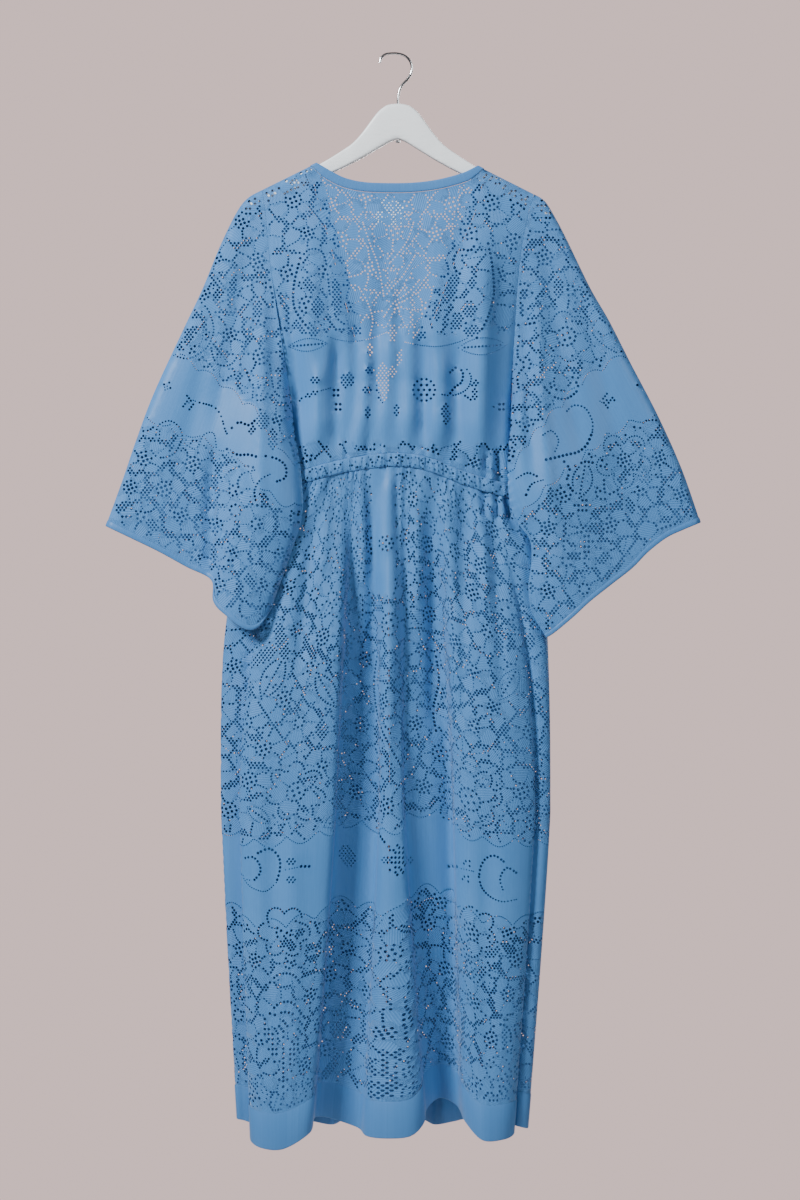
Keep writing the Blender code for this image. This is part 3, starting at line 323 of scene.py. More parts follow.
def skirt_surface(folds, at, waist, phase, columns, rows):
    knee, hem = spline(folds[:, 0:2], at), spline(folds[:, 2:5], at)
    waist[:, 2] -= CASING_HEIGHT + SEAM
    lean = FLARE + SIDE_FLARE * np.abs(2 * columns - 1) ** SIDE_FLARE_POWER
    grid = np.zeros((len(rows), len(columns), 3))
    for r, down in enumerate(rows):
        if down < KNEE:
            grid[r, :, 0] = knee[:, 0] + (waist[:, 0] - knee[:, 0]) * (1 - down / KNEE) ** lean
            grown = smooth_step((down - FOLDS_START) / (FOLDS_GROWN - FOLDS_START))
            grid[r, :, 1] = knee[:, 1] * grown + waist[:, 1] * (1 - grown)
        else:
            done = ((down - KNEE) / (1 - KNEE)) ** HEM_LEAN
            grid[r, :, :2] = knee + (hem[:, :2] - knee) * done
        grid[r, :, 2] = waist[:, 2] + (hem[:, 2] - waist[:, 2]) * down
    gather(grid, phase, columns, rows * SKIRT_LENGTH, SKIRT_REACH)
    return grid


def even_folds(folds, count):
    """Fold numbers at even steps of cloth along the knee line, and the cloth's width."""
    fine = np.linspace(0, len(folds) - 1, KNEE_POINTS)
    walked = lengths(spline(folds[:, 0:2], fine))
    return np.interp(np.linspace(0, walked[-1], count), walked, fine), walked[-1]


def back_skirt(columns, rows):
    folds = table(SKIRT_BACK, 1)
    at, width = even_folds(folds, len(columns))
    pull = table(WAIST_PULL)
    waist = waist_line(np.interp(columns, pull[:, 0], pull[:, 1]), -1)
    grid = skirt_surface(folds, at, waist, math.pi * at, columns, rows)
    grid[:, [0, -1], 1] -= HALF_GAP
    return grid, width


def front_skirt(hand, columns, rows):
    folds = table(SKIRT_FRONT, 1)
    side = table(SKIRT_BACK, 1)[END[hand]]
    meet = {place: x + OUT[hand] * HALF_GAP for place, x in FRONT_MEETS.items()}
    folds[:, 0] = meet["knee"] + (side[0] - meet["knee"]) * folds[:, 0]
    folds[:, 2] = meet["hem"] + (side[2] - meet["hem"]) * folds[:, 2]
    folds[0, 4] = side[4]
    at, width = even_folds(folds, len(columns))
    phase = at * FRONT_PACE * math.pi
    grid = skirt_surface(folds, at, front_waist(hand, meet["waist"], columns), phase, columns, rows)
    grid[:, -1, 0] = np.interp(rows, (0.0, KNEE, 1.0), (meet["waist"], meet["knee"], meet["hem"]))
    grid[:, 0, 1] += HALF_GAP
    return (grid if hand == "left" else grid[:, ::-1]), width


# %% [markdown]
# ## Bodice
# The bodice lies over the wooden bow, turns over it at the shoulders and blouses a little
# above the waist. Its side is the armhole down to the underarm and then the side seam.
# %% Bodice surfaces


def armhole(hand, side, shares):
    depth = table(ARMHOLE_DEPTH)
    stand_off = np.interp(shares, depth[:, 0], depth[:, 1])
    return three(along(ARMHOLE[hand], shares), side * (HALF_GAP + stand_off))


def bodice_side(hand, side, rows):
    line = armhole(hand, side, np.minimum(rows / UNDERARM, 1.0))
    waist = WAIST[END[hand]]
    below = np.clip((rows - UNDERARM) / (1 - UNDERARM), 0.0, 1.0)[:, None]
    end = np.array([waist[0], side * HALF_GAP, waist[1] + SEAM])
    shoulder_y = line[:, 1].copy()
    line = line * (1 - below) + end * below
    joined = np.minimum(below[:, 0] / SIDE_JOIN, 1.0)
    line[:, 1] = np.where(below[:, 0] > 0, shoulder_y * (1 - joined) + side * HALF_GAP * joined,
                          line[:, 1])
    return line


def turn(rows):
    short = np.clip(1 - np.asarray(rows) / TURN_SHARE, 0.0, 1.0)
    return np.sqrt(1 - short * short)


def turned_out(shares):
    return np.clip(1 - (shares - BAND_TURN_START) / BAND_TURN, 0.0, 1.0)[:, None]


def shoulder_corner(hand):
    neck = np.array(NECK[END[hand]], float)
    way = np.array(ARMHOLE[hand][0], float) - neck
    return neck + way / np.linalg.norm(way) * (BAND_WIDTH * BAND_CORNER)


def neck_lower(shares):
    down = square_to(NECK, shares, BAND_STEP / 2) * BAND_WIDTH
    for hand, from_end in (("left", shares), ("right", 1 - shares)):
        corner = shoulder_corner(hand) - np.array(NECK[END[hand]])
        mix = turned_out(from_end)
        down = down * (1 - mix) + corner * mix
    return along(NECK, shares) + down


NECK_KNOTS = (0.0, CORNER_LEFT, CORNER_LEFT + CORNER_STEP, CORNER_LEFT + 2 * CORNER_STEP,
              CORNER_RIGHT - 2 * CORNER_STEP, CORNER_RIGHT - CORNER_STEP, CORNER_RIGHT, 1.0)
NECK_DEPTHS = (HALF_GAP, HALF_GAP, CORNER_DEPTH, NECK_DEPTH, NECK_DEPTH, CORNER_DEPTH,
               HALF_GAP, HALF_GAP)


def back_top(columns):
    """Top edge of the back: left shoulder, neck band seam, right shoulder."""
    first, last = CORNER_LEFT + CORNER_STEP, CORNER_RIGHT - CORNER_STEP
    lower = neck_lower(np.interp(columns, (first, last), (NECK_END, 1 - NECK_END)))
    flat = lower.copy()
    for hand, way, corner in (("left", columns, CORNER_LEFT),
                              ("right", 1 - columns, 1 - CORNER_RIGHT)):
        tip = np.array(ARMHOLE[hand][0], float)
        edge = shoulder_corner(hand)
        share = np.clip(way / corner, 0.0, 1.0)[:, None]
        join = np.clip((way - corner) / CORNER_STEP, 0.0, 1.0)[:, None]
        shoulder = tip * (1 - share) + edge * share
        flat = np.where(way[:, None] < corner + CORNER_STEP, shoulder * (1 - join) + flat * join,
                        flat)
    return three(flat, -np.interp(columns, NECK_KNOTS, NECK_DEPTHS))


def bodice_relief(top, bottom, left, right, columns, rows, folds, side, phase):
    high = [line.copy() for line in (top, bottom, left, right)]
    high[0][:, 1] = side * TURN_DEPTH
    for line in high[2:]:
        above = rows < UNDERARM / 2
        line[above, 1] = side * np.maximum(np.abs(line[above, 1]), TURN_DEPTH)
        line[0, 1] = side * TURN_DEPTH
    grid = patch(*high, columns, rows)
    folds = table(folds)
    none = np.zeros(len(folds))
    folds = np.column_stack((folds[:, 0], none, folds[:, 1:], none))
    grid[:, :, 1] += side * relief(FOLD_HEIGHTS, folds, rows, columns)
    held = np.maximum(np.abs(grid[:, :, 1]), TURN_DEPTH)
    near_wood = np.clip((WOOD_REACH - rows) / WOOD_EASE, 0.0, 1.0)[:, None]
    grid[:, :, 1] = side * held * near_wood + grid[:, :, 1] * (1 - near_wood)
    gather(grid, phase, columns, (1 - rows) * BODICE_LENGTH, BODICE_REACH,
           from_ends(columns, SIDE_CALM))
    return grid


def back_bodice(columns, rows):
    top = back_top(columns)
    bottom = waist_line(columns, -1)
    bottom[:, 2] += SEAM
    left, right = (bodice_side(hand, -1, rows) for hand in ("left", "right"))
    grid = bodice_relief(top, bottom, left, right, columns, rows, BODICE_FOLDS, -1,
                         BACK_WAVES * math.pi * columns)
    over_wood = -HALF_GAP + (grid[:, :, 1] + HALF_GAP) * turn(rows)[:, None]
    reach = np.clip(rows / NECK_EASE, 0.0, 1.0)[:, None]
    at_neck = top[None, :, 1] * (1 - reach) + grid[:, :, 1] * reach
    corner = np.maximum(CORNER_LEFT + CORNER_STEP - columns, columns - CORNER_RIGHT + CORNER_STEP)
    shoulder = smooth_step(corner / CORNER_STEP)[None]
    grid[:, :, 1] = over_wood * shoulder + at_neck * (1 - shoulder)
    grid[:, 0], grid[:, -1] = left, right
    grid[:, 0, 0] += HALF_GAP
    grid[:, -1, 0] -= HALF_GAP
    return grid, BACK_WIDTH


def front_edge(hand, rows):
    inner = along(FRONT_V[hand], rows)
    out = square_to(FRONT_V[hand], rows, BAND_STEP) * -OUT[hand]
    mix = turned_out(rows)
    outer = inner + out * BAND_WIDTH * (1 - mix) + (shoulder_corner(hand) - inner[0]) * mix
    outer[-1, 1] = inner[-1, 1]
    return inner, outer


def front_depth(rows):
    depths = table(FRONT_DEPTHS)
    return HALF_GAP + (np.interp(rows, depths[:, 0], depths[:, 1]) - HALF_GAP) * turn(rows)


def front_bodice(hand, columns, rows):
    side = bodice_side(hand, 1, rows)
    _, outer = front_edge(hand, rows)
    edge = three(outer, front_depth(rows))
    steps = columns[:, None]
    top = side[0] * (1 - steps) + edge[0] * steps
    bottom = front_waist(hand, edge[-1, 0], columns)
    bottom[:, 2] += SEAM
    edge[-1], side[-1] = bottom[-1], bottom[0]
    grid = bodice_relief(top, bottom, side, edge, columns, rows, FRONT_BODICE_FOLDS, 1,
                         FRONT_WAVES * math.pi * columns)
    grid[:, :, 1] = HALF_GAP + (grid[:, :, 1] - HALF_GAP) * turn(rows)[:, None]
    grid[:, 0], grid[:, -1] = side, edge
    grid[:, 0, 0] -= OUT[hand] * HALF_GAP
    grid[:, -1, 0] += OUT[hand] * HALF_GAP
    return (grid if hand == "left" else grid[:, ::-1]), FRONT_WIDTH


# %% [markdown]
# ## Sleeves
# A kimono sleeve is one wide piece folded along its outer edge. It hangs in a few long
# pleats from the shoulder, and its inner part lies in front of the skirt's side.
# %% Sleeve surfaces


def sleeve(hand, side, columns, rows):
    top = armhole(hand, side, columns)
    seam_table = table(UNDER_SEAM)
    seam = np.interp(rows, seam_table[:, 0], seam_table[:, 1]) + side * HALF_GAP
    seam[0] = top[-1, 1]
    left = three(along(OUTER_EDGE[hand], rows), side * HALF_GAP)
    right = three(along(UNDER_EDGE[hand], rows), seam)
    bottom = three(along(CUFF[hand], columns), 0.0)
    bottom[0], bottom[-1] = left[-1], right[-1]
    grid = patch(top, bottom, left, right, columns, rows)
    at = np.interp(columns, SLEEVE_SHARES, np.arange(len(SLEEVE_SHARES)))
    folds = np.array(SLEEVE_FOLDS[hand, side], float)
    levels = np.concatenate((top[None, :, 1], spline(folds.T, at).T))
    grid[:, :, 1] = spline(levels, np.interp(rows, SLEEVE_FOLD_ROWS,
                                             np.arange(len(SLEEVE_FOLD_ROWS))))
    grid[:, 0, 1] = side * HALF_GAP
    grid[:, -1, 1] = seam
    grid[0] = top
    grid[0, :, 0] += OUT[hand] * HALF_GAP
    return grid, SLEEVE_WIDTH


# %% [markdown]
# ## Waist casing
# The channel for the cord is a strip folded into a flat tube. Drawn together, it swells
# between pinches. Going round the tube, the cloth starts and ends at the upper seam.
# %% Casing surface


PINCHES = 24           # half waves along the whole waist
CASING_ROUGH = [(1.0, 2.3, 1.1), (0.6, 3.9, 0.0), (0.5, 6.1, 2.0)]
CASING_WAVE, CASING_SHIFT = 1.3, 0.8        # in depth and along the waist, mm


def casing(start, stop, side, columns, rows):
    line = waist_line(start + (stop - start) * columns, side)
    line[:, 1] = side * np.maximum(np.abs(line[:, 1]), CASING_BELLY * 1.4 + HALF_GAP)
    phase = columns * abs(stop - start) * PINCHES * math.pi
    ends = from_ends(columns, SIDE_CALM)
    swell = CASING_BELLY * (1 + 0.15 * np.sin(phase + 2.0)
                            + 0.2 * mixed(phase, CASING_ROUGH) * ends)
    swell *= 0.45 + 0.55 * ends
    wave = CASING_WAVE * np.sin(phase + GATHERS[0][2]) * ends
    angle = 2 * math.pi * rows[:, None]
    round_it = np.sin(angle) * side
    depth = np.sign(round_it) * np.abs(round_it) ** 0.7
    outer = np.abs(np.sin(angle))
    grid = np.zeros((len(rows), len(columns), 3))
    grid[:, :, 0] = line[None, :, 0] + CASING_SHIFT * np.cos(3 * phase)[None] * outer
    grid[:, :, 1] = line[None, :, 1] + outer * wave[None] + depth * swell[None]
    grid[:, :, 2] = line[None, :, 2] - CASING_HEIGHT * (1 - np.cos(angle)) / 2
    return grid


# %% [markdown]
# ## Creases
# Cloth that was folded away and hung up again keeps soft creases. Each is a line as seen
# from the camera, with a width and a height. A negative height is a trough. The hidden
# front has similar ones.
# %% Creases
# x, z at the top, x, z at the bottom, half width, height, mm
CREASES = {
    "skirt_back": [
        (-66, -590, -72, -830, 9, -7), (-52, -585, -48, -760, 7, 5), (-38, -585, -36, -900, 9, -7),
        (-18, -590, -20, -720, 7, 5), (6, -590, 4, -1040, 11, -8), (24, -600, 28, -820, 8, 5),
        (44, -600, 52, -1000, 10, -7), (66, -606, 74, -780, 8, 5), (88, -612, 96, -980, 10, -6),
        (112, -620, 128, -800, 8, 5), (134, -628, 150, -960, 9, -5), (-96, -606, -112, -760, 9, 5),
        (-118, -612, -140, -900, 10, -6), (-136, -620, -165, -780, 8, 4),
        (-176, -1000, -182, -1420, 12, -4), (-146, -1050, -150, -1500, 14, 4),
        (128, -1040, 122, -1500, 13, -4), (86, -900, 80, -1380, 12, -4),
        (122, -604, 123, -664, 6, -6), (131, -606, 132, -660, 4, 5), (139, -608, 141, -668, 4, -5),
        (147, -610, 149, -660, 4, 5), (154, -612, 156, -664, 4, -5),
    ],
    "bodice_back": [
        (-58, -360, -66, -560, 8, -5), (-44, -400, -50, -566, 6, 4), (-30, -340, -34, -566, 8, -5),
        (-12, -330, -16, -560, 7, 4), (4, -300, 0, -560, 8, -5), (22, -350, 20, -556, 7, 4),
        (38, -390, 40, -560, 8, -5), (62, -420, 66, -566, 8, 4), (84, -400, 88, -580, 9, -5),
        (-85, -390, -91, -578, 9, -10), (-110, -430, -118, -580, 9, 6),
        (120, -235, 122, -580, 15, 9), (-14, -230, -20, -430, 22, -6),
        (-156, -260, -138, -540, 13, -8),
        (-122, -230, -116, -400, 12, 4), (108, -240, 104, -400, 12, 4),
        (124, -556, 122, -622, 5, -6), (133, -560, 132, -622, 4, 5), (142, -556, 141, -622, 4, -6),
    ],
    "sleeve_left_back": [
        (-206, -240, -262, -560, 12, -4), (-190, -300, -196, -700, 10, 5),
        (-166, -290, -158, -560, 9, 6), (-262, -540, -267, -760, 9, -8),
        (-246, -300, -320, -640, 14, -3),
    ],
    "sleeve_right_back": [
        (204, -240, 262, -600, 12, -4), (190, -300, 220, -700, 10, 5),
        (178, -330, 190, -640, 9, -5), (250, -300, 330, -640, 14, -3),
    ],
}
CREASES["skirt_front_left"] = [(x - 12, z, u - 16, v, w, h) for x, z, u, v, w, h
                               in CREASES["skirt_back"]]
CREASES["skirt_front_right"] = CREASES["skirt_front_left"]
CREASES["sleeve_left_front"] = CREASES["sleeve_left_back"][::2]
CREASES["sleeve_right_front"] = CREASES["sleeve_right_back"][::2]
CREASE_END = 0.25      # share of a crease's length over which it fades
CREASE_SIDE = 0.04     # share of the panel beside its side seams that stays as it is
WANDER, WANDER_PACE = 0.15, 5      # how far a crease strays, in widths, and how often


def creased(name, grid, side):
    """Raises or lowers the cloth along the creases of this panel."""
    x, z = grid[..., 0], grid[..., 2]
    held = from_ends(np.linspace(0, 1, x.shape[1]), CREASE_SIDE)
    for top_x, top_z, end_x, end_z, width, height in CREASES.get(name, ()):
        share = (top_z - z) / (top_z - end_z)
        fade = smooth_step(share / CREASE_END) * smooth_step((1 - share) / CREASE_END)
        wander = WANDER * width * np.sin(share * WANDER_PACE + top_x)
        off = (x - top_x - (end_x - top_x) * share - wander) / width
        grid[..., 1] += side * height * np.exp(-off * off) * fade * held
    return grid


# %% [markdown]
# ## All the lace panels
# Every panel becomes a fine grid of points at even steps of cloth, with its flat width
# and length beside it. A place on the flat cloth then has a place in space.
# %% Panels
FINE = 2.5             # step of the grids, mm
ROUGH = (30, 20)       # columns and rows of a first grid, which tells the width
panels = {}


def panel(name, make, length):
    _, width = make(*(np.linspace(0, 1, count) for count in ROUGH))
    columns = np.linspace(0, 1, int(width / FINE) + 2)
    rows = np.linspace(0, 1, int(length / FINE) + 2)
    grid, _ = make(columns, rows)
    grid = creased(name, grid, 1 if "front" in name else -1)
    panels[name] = {"name": name, "grid": grid, "width": width, "length": length}


panel("bodice_back", back_bodice, BODICE_LENGTH)
panel("skirt_back", back_skirt, SKIRT_LENGTH)
for hand in ("left", "right"):
    panel(f"bodice_front_{hand}", lambda c, r, hand=hand: front_bodice(hand, c, r), BODICE_LENGTH)
    panel(f"skirt_front_{hand}", lambda c, r, hand=hand: front_skirt(hand, c, r), SKIRT_LENGTH)
    for side, half in ((-1, "back"), (1, "front")):
        panel(f"sleeve_{hand}_{half}",
              lambda c, r, hand=hand, side=side: sleeve(hand, side, c, r), SLEEVE_LENGTH)
meet_left = waist_share(FRONT_MEETS["waist"] - HALF_GAP)
meet_right = waist_share(FRONT_MEETS["waist"] + HALF_GAP)
# piece, first and last share of the waist, back or front, width of the cloth
for name, start, stop, side, width in (
        ("casing_back", 0.0, 1.0, -1, 560.0),
        ("casing_front_left", 0.0, meet_left, 1, 250.0),
        ("casing_front_right", 1.0, meet_right, 1, 310.0)):
    panel(name, lambda c, r, a=start, b=stop, s=side, w=width: (casing(a, b, s, c, r), w),
          CASING_ROUND)
print({name: piece["grid"].shape for name, piece in panels.items()})


def place(piece, flat):
    """Points in space, in mm, of places on the flat cloth, smooth between the grid's points."""
    grid = piece["grid"]
    rows, columns, _ = grid.shape
    total = 0
    weights = []
    for value, size, count in ((flat[:, 1], piece["length"], rows),
                               (flat[:, 0], piece["width"], columns)):
        at = np.clip(value / size, 0.0, 1.0) * (count - 1)
        low = np.minimum(at.astype(int), count - 2)
        f = at - low
        share = (-0.5 * f + f ** 2 - 0.5 * f ** 3, 1 - 2.5 * f ** 2 + 1.5 * f ** 3,
                 0.5 * f + 2 * f ** 2 - 1.5 * f ** 3, -0.5 * f ** 2 + 0.5 * f ** 3)
        weights.append([(np.clip(low + k - 1, 0, count - 1), share[k]) for k in range(4)])
    for r, down in weights[0]:
        for c, across in weights[1]:
            total = total + grid[r, c] * (down * across)[:, None]
    return total


def facing(piece, flat, step=1.0):
    """Unit normals there, and how much the cloth is stretched across and down."""
    across = place(piece, flat + (step, 0)) - place(piece, flat - (step, 0))
    down = place(piece, flat + (0, step)) - place(piece, flat - (0, step))
    stretch = [np.linalg.norm(way, axis=1) / (2 * step) for way in (across, down)]
    return unit(np.cross(across, down)), np.column_stack(stretch)


# %% [markdown]
# ## From the picture to the cloth
# The motifs were measured as they are seen from the camera, 3.5 m in front of the robe.
# A search over the panel's grid finds a first place on the cloth behind each one, and a
# few Newton steps bring it close to the line of sight.
# %% Finding a place on the cloth
EYE = np.array([2.8, -3500.0, -774.5])      # the camera, mm
DEPTH_SHARE = 0.08     # how much depth counts beside width and height in the search
NEAR_DEPTH = -4.0      # a depth on the camera's side, where the search starts
MISSED = 6.0           # a target this far from the panel isn't on it, mm
NOWHERE = -99.0
NEWTON_STEPS, NEWTON_TRY, LONGEST_STEP, LEAST_TURN = 5, 0.5, 8, 0.004


def as_seen(points):
    """Points moved along the line of sight to the plane through the hook."""
    near = EYE[1] / (EYE[1] - points[..., 1])
    return np.stack([EYE[i] + (points[..., i] - EYE[i]) * near for i in (0, 2)], axis=-1)


def from_front(points):
    """Points on a flat table seen from straight ahead: across, and down."""
    return np.stack((points[..., 0], -points[..., 2]), axis=-1)


def search_tree(places, heights=None):
    """Finds the nearest of many flat places; a height may be given with each."""
    heights = np.zeros(len(places)) if heights is None else heights
    tree = KDTree(len(places))
    for i, ((a, b), height) in enumerate(zip(places, heights)):
        tree.insert((a, b, height), i)
    tree.balance()
    return tree


def nearest_node(piece, view, targets, depth_share):
    """First guess: the grid's nearest point, of two layers the one nearer to the camera."""
    grid = piece["grid"]
    rows, columns, _ = grid.shape
    toward = 1 if grid[..., 1].mean() < 0 else -1
    tree = search_tree(view(grid).reshape(-1, 2), grid[..., 1].ravel() * depth_share * toward)
    found = [tree.find((a, b, NEAR_DEPTH * depth_share / DEPTH_SHARE)) for a, b in targets]
    index = np.array([hit[1] for hit in found], int)
    missed = np.array([hit[2] for hit in found])
    flat = np.column_stack((index % columns / (columns - 1) * piece["width"],
                            index // columns / (rows - 1) * piece["length"]))
    return flat, missed


def solve(piece, view, targets, flat):
    """Newton steps on the cloth toward the targets in the view."""
    size = np.array((piece["width"], piece["length"]))
    for _ in range(NEWTON_STEPS):
        here = view(place(piece, flat))
        across = view(place(piece, flat + (NEWTON_TRY, 0))) - here
        down = view(place(piece, flat + (0, NEWTON_TRY))) - here
        turned = across[:, 0] * down[:, 1] - across[:, 1] * down[:, 0]
        turned = np.where(np.abs(turned) < LEAST_TURN, np.inf, turned)
        gap = targets - here
        step = np.column_stack((gap[:, 0] * down[:, 1] - gap[:, 1] * down[:, 0],
                                across[:, 0] * gap[:, 1] - across[:, 1] * gap[:, 0]))
        step = NEWTON_TRY * step / turned[:, None]
        flat = np.clip(flat + np.clip(step, -LONGEST_STEP, LONGEST_STEP), 0, size)
    return flat


def find_places(piece, view, targets, depth_share):
    flat, missed = nearest_node(piece, view, targets, depth_share)
    flat = solve(piece, view, targets, flat)
    flat[missed > MISSED] = NOWHERE
    return flat


def seen_places(piece, targets):
    """Places on the cloth of points in the picture; far outside it gives NOWHERE."""
    targets = np.asarray(targets, float).reshape(-1, 2)
    return find_places(piece, as_seen, targets, DEPTH_SHARE)


# %% [markdown]
# ## Charts
# A pattern needs a flat chart that is not squeezed anywhere. The skirts' own flat cloth is
# such a chart. The bodice and the sleeves narrow toward the shoulder, so their lace is
# drawn as they lie, seen from straight ahead.
# %% Charts


def laid_flat(piece):
    return piece["name"].split("_")[0] in ("bodice", "sleeve")


def to_chart(piece, flat):
    return from_front(place(piece, flat)) if laid_flat(piece) else np.asarray(flat, float)


def from_chart(piece, spots):
    if not laid_flat(piece):
        return np.asarray(spots, float)
    return find_places(piece, from_front, spots, 0.0)


def chart_box(piece):
    if not laid_flat(piece):
        return np.zeros(2), np.array((piece["width"], piece["length"]))
    spots = from_front(piece["grid"]).reshape(-1, 2)
    return spots.min(axis=0), spots.max(axis=0)


# %% [markdown]
# ## Lace motifs
# The lace maker leaves holes along the edges of flowers and leaves. There are a few kinds:
# a ring of holes round a flower's heart, dotted outlines, scrolls with heavy dots, and
# nets, where holes lie close on a slanted lattice.
# %% Motif shapes
HEAVY, MEDIUM, NET, LINE = 2.0, 1.55, 1.5, 0.95      # radii of the holes, mm
NET_ACROSS, NET_DOWN = 2.7, 3.5                      # half steps of a net's lattice
NET_THREAD = 0.7                                     # least cloth between its holes
HEART_STEP, HEART_CORE = 6.2, 0.42                   # round a heart, and its inner ring
LOBE_POINTS, LOBE_ROUND = 8, 0.7
VEIN_SHARE, VEIN_PITCH = 0.75, 5.0
BUDS = ((-40, 10), (0, 15), (40, 10))                # a bud's angle in degrees and its reach


def ring(x, z, radius, count, size, turned=0.0):
    angle = np.arange(count) * 2 * math.pi / count + turned
    return [(x + radius * math.cos(a), z + radius * math.sin(a), size) for a in angle]


def dotted(points, step, size, end_size=None):
    """Holes at even steps along a smooth line; the size may change to its end."""
    count = max(int(lengths(points)[-1] / step), 1)
    shares = np.linspace(0, 1, count + 1)
    sizes = size + ((end_size or size) - size) * shares
    return [(x, z, r) for (x, z), r in zip(along(points, shares), sizes)]


def net(x, z, wide, tall, tilt, size=NET):
    """A slanted lattice of holes inside an ellipse."""
    holes = []
    lean = math.radians(tilt)
    reach = int(max(wide, tall) / NET_ACROSS) + 2
    grow = max(1.0, (2 * size + NET_THREAD) / math.hypot(NET_ACROSS, NET_DOWN))
    for i in range(-reach, reach + 1):
        for j in range(-reach, reach + 1):
            if (i + j) % 2:
                continue
            dx, dz = i * NET_ACROSS * grow, j * NET_DOWN * grow
            u = dx * math.cos(lean) + dz * math.sin(lean)
            v = -dx * math.sin(lean) + dz * math.cos(lean)
            if (u / wide) ** 2 + (v / tall) ** 2 <= 1:
                holes.append((x + dx, z + dz, size))
    return holes


def rosette(x, z, radius):
    count = max(int(radius * 2 * math.pi / HEART_STEP), 7)
    return ring(x, z, radius, count, 1.8) + ring(x, z, radius * HEART_CORE, 4, HEAVY, 0.4)


def lobes(x, z, inner, outer, count, turned=0.0, size=MEDIUM, step=4.0):
    """The scalloped outline of a large flower's petals."""
    angles = np.linspace(0, 2 * math.pi, count * LOBE_POINTS + 1)
    bulge = np.abs(np.sin(count * (angles - turned) / 2)) ** LOBE_ROUND
    reach = inner + (outer - inner) * bulge
    points = np.column_stack((x + reach * np.cos(angles), z + reach * np.sin(angles)))
    return dotted(points, step, size)


def leaf(x, z, long, wide, tilt, size=LINE, step=3.1):
    """A pointed leaf: two bowed sides and a dotted vein."""
    lean = math.radians(tilt)
    along_leaf = np.linspace(-1, 1, 9)
    bow = wide * (1 - along_leaf ** 2)
    holes = []
    for side in (-1, 1, 0):
        reach = long * (1.0 if side else VEIN_SHARE)
        u, v = along_leaf * reach, bow * side
        points = np.column_stack((x + u * math.cos(lean) - v * math.sin(lean),
                                  z + u * math.sin(lean) + v * math.cos(lean)))
        holes += dotted(points, step if side else VEIN_PITCH, size if side else MEDIUM)
    return holes


def sprig(x, z, tilt, scale=1.0):
    """Three small buds on dotted stems."""
    holes = []
    for bud, reach in BUDS:
        way = math.radians(tilt + bud)
        end = (x + reach * scale * math.cos(way), z + reach * scale * math.sin(way))
        holes += net(end[0], end[1], 5.5 * scale, 4.0 * scale, tilt + bud, MEDIUM)
        holes += dotted([(x, z), end], 3.0, LINE)
    return holes


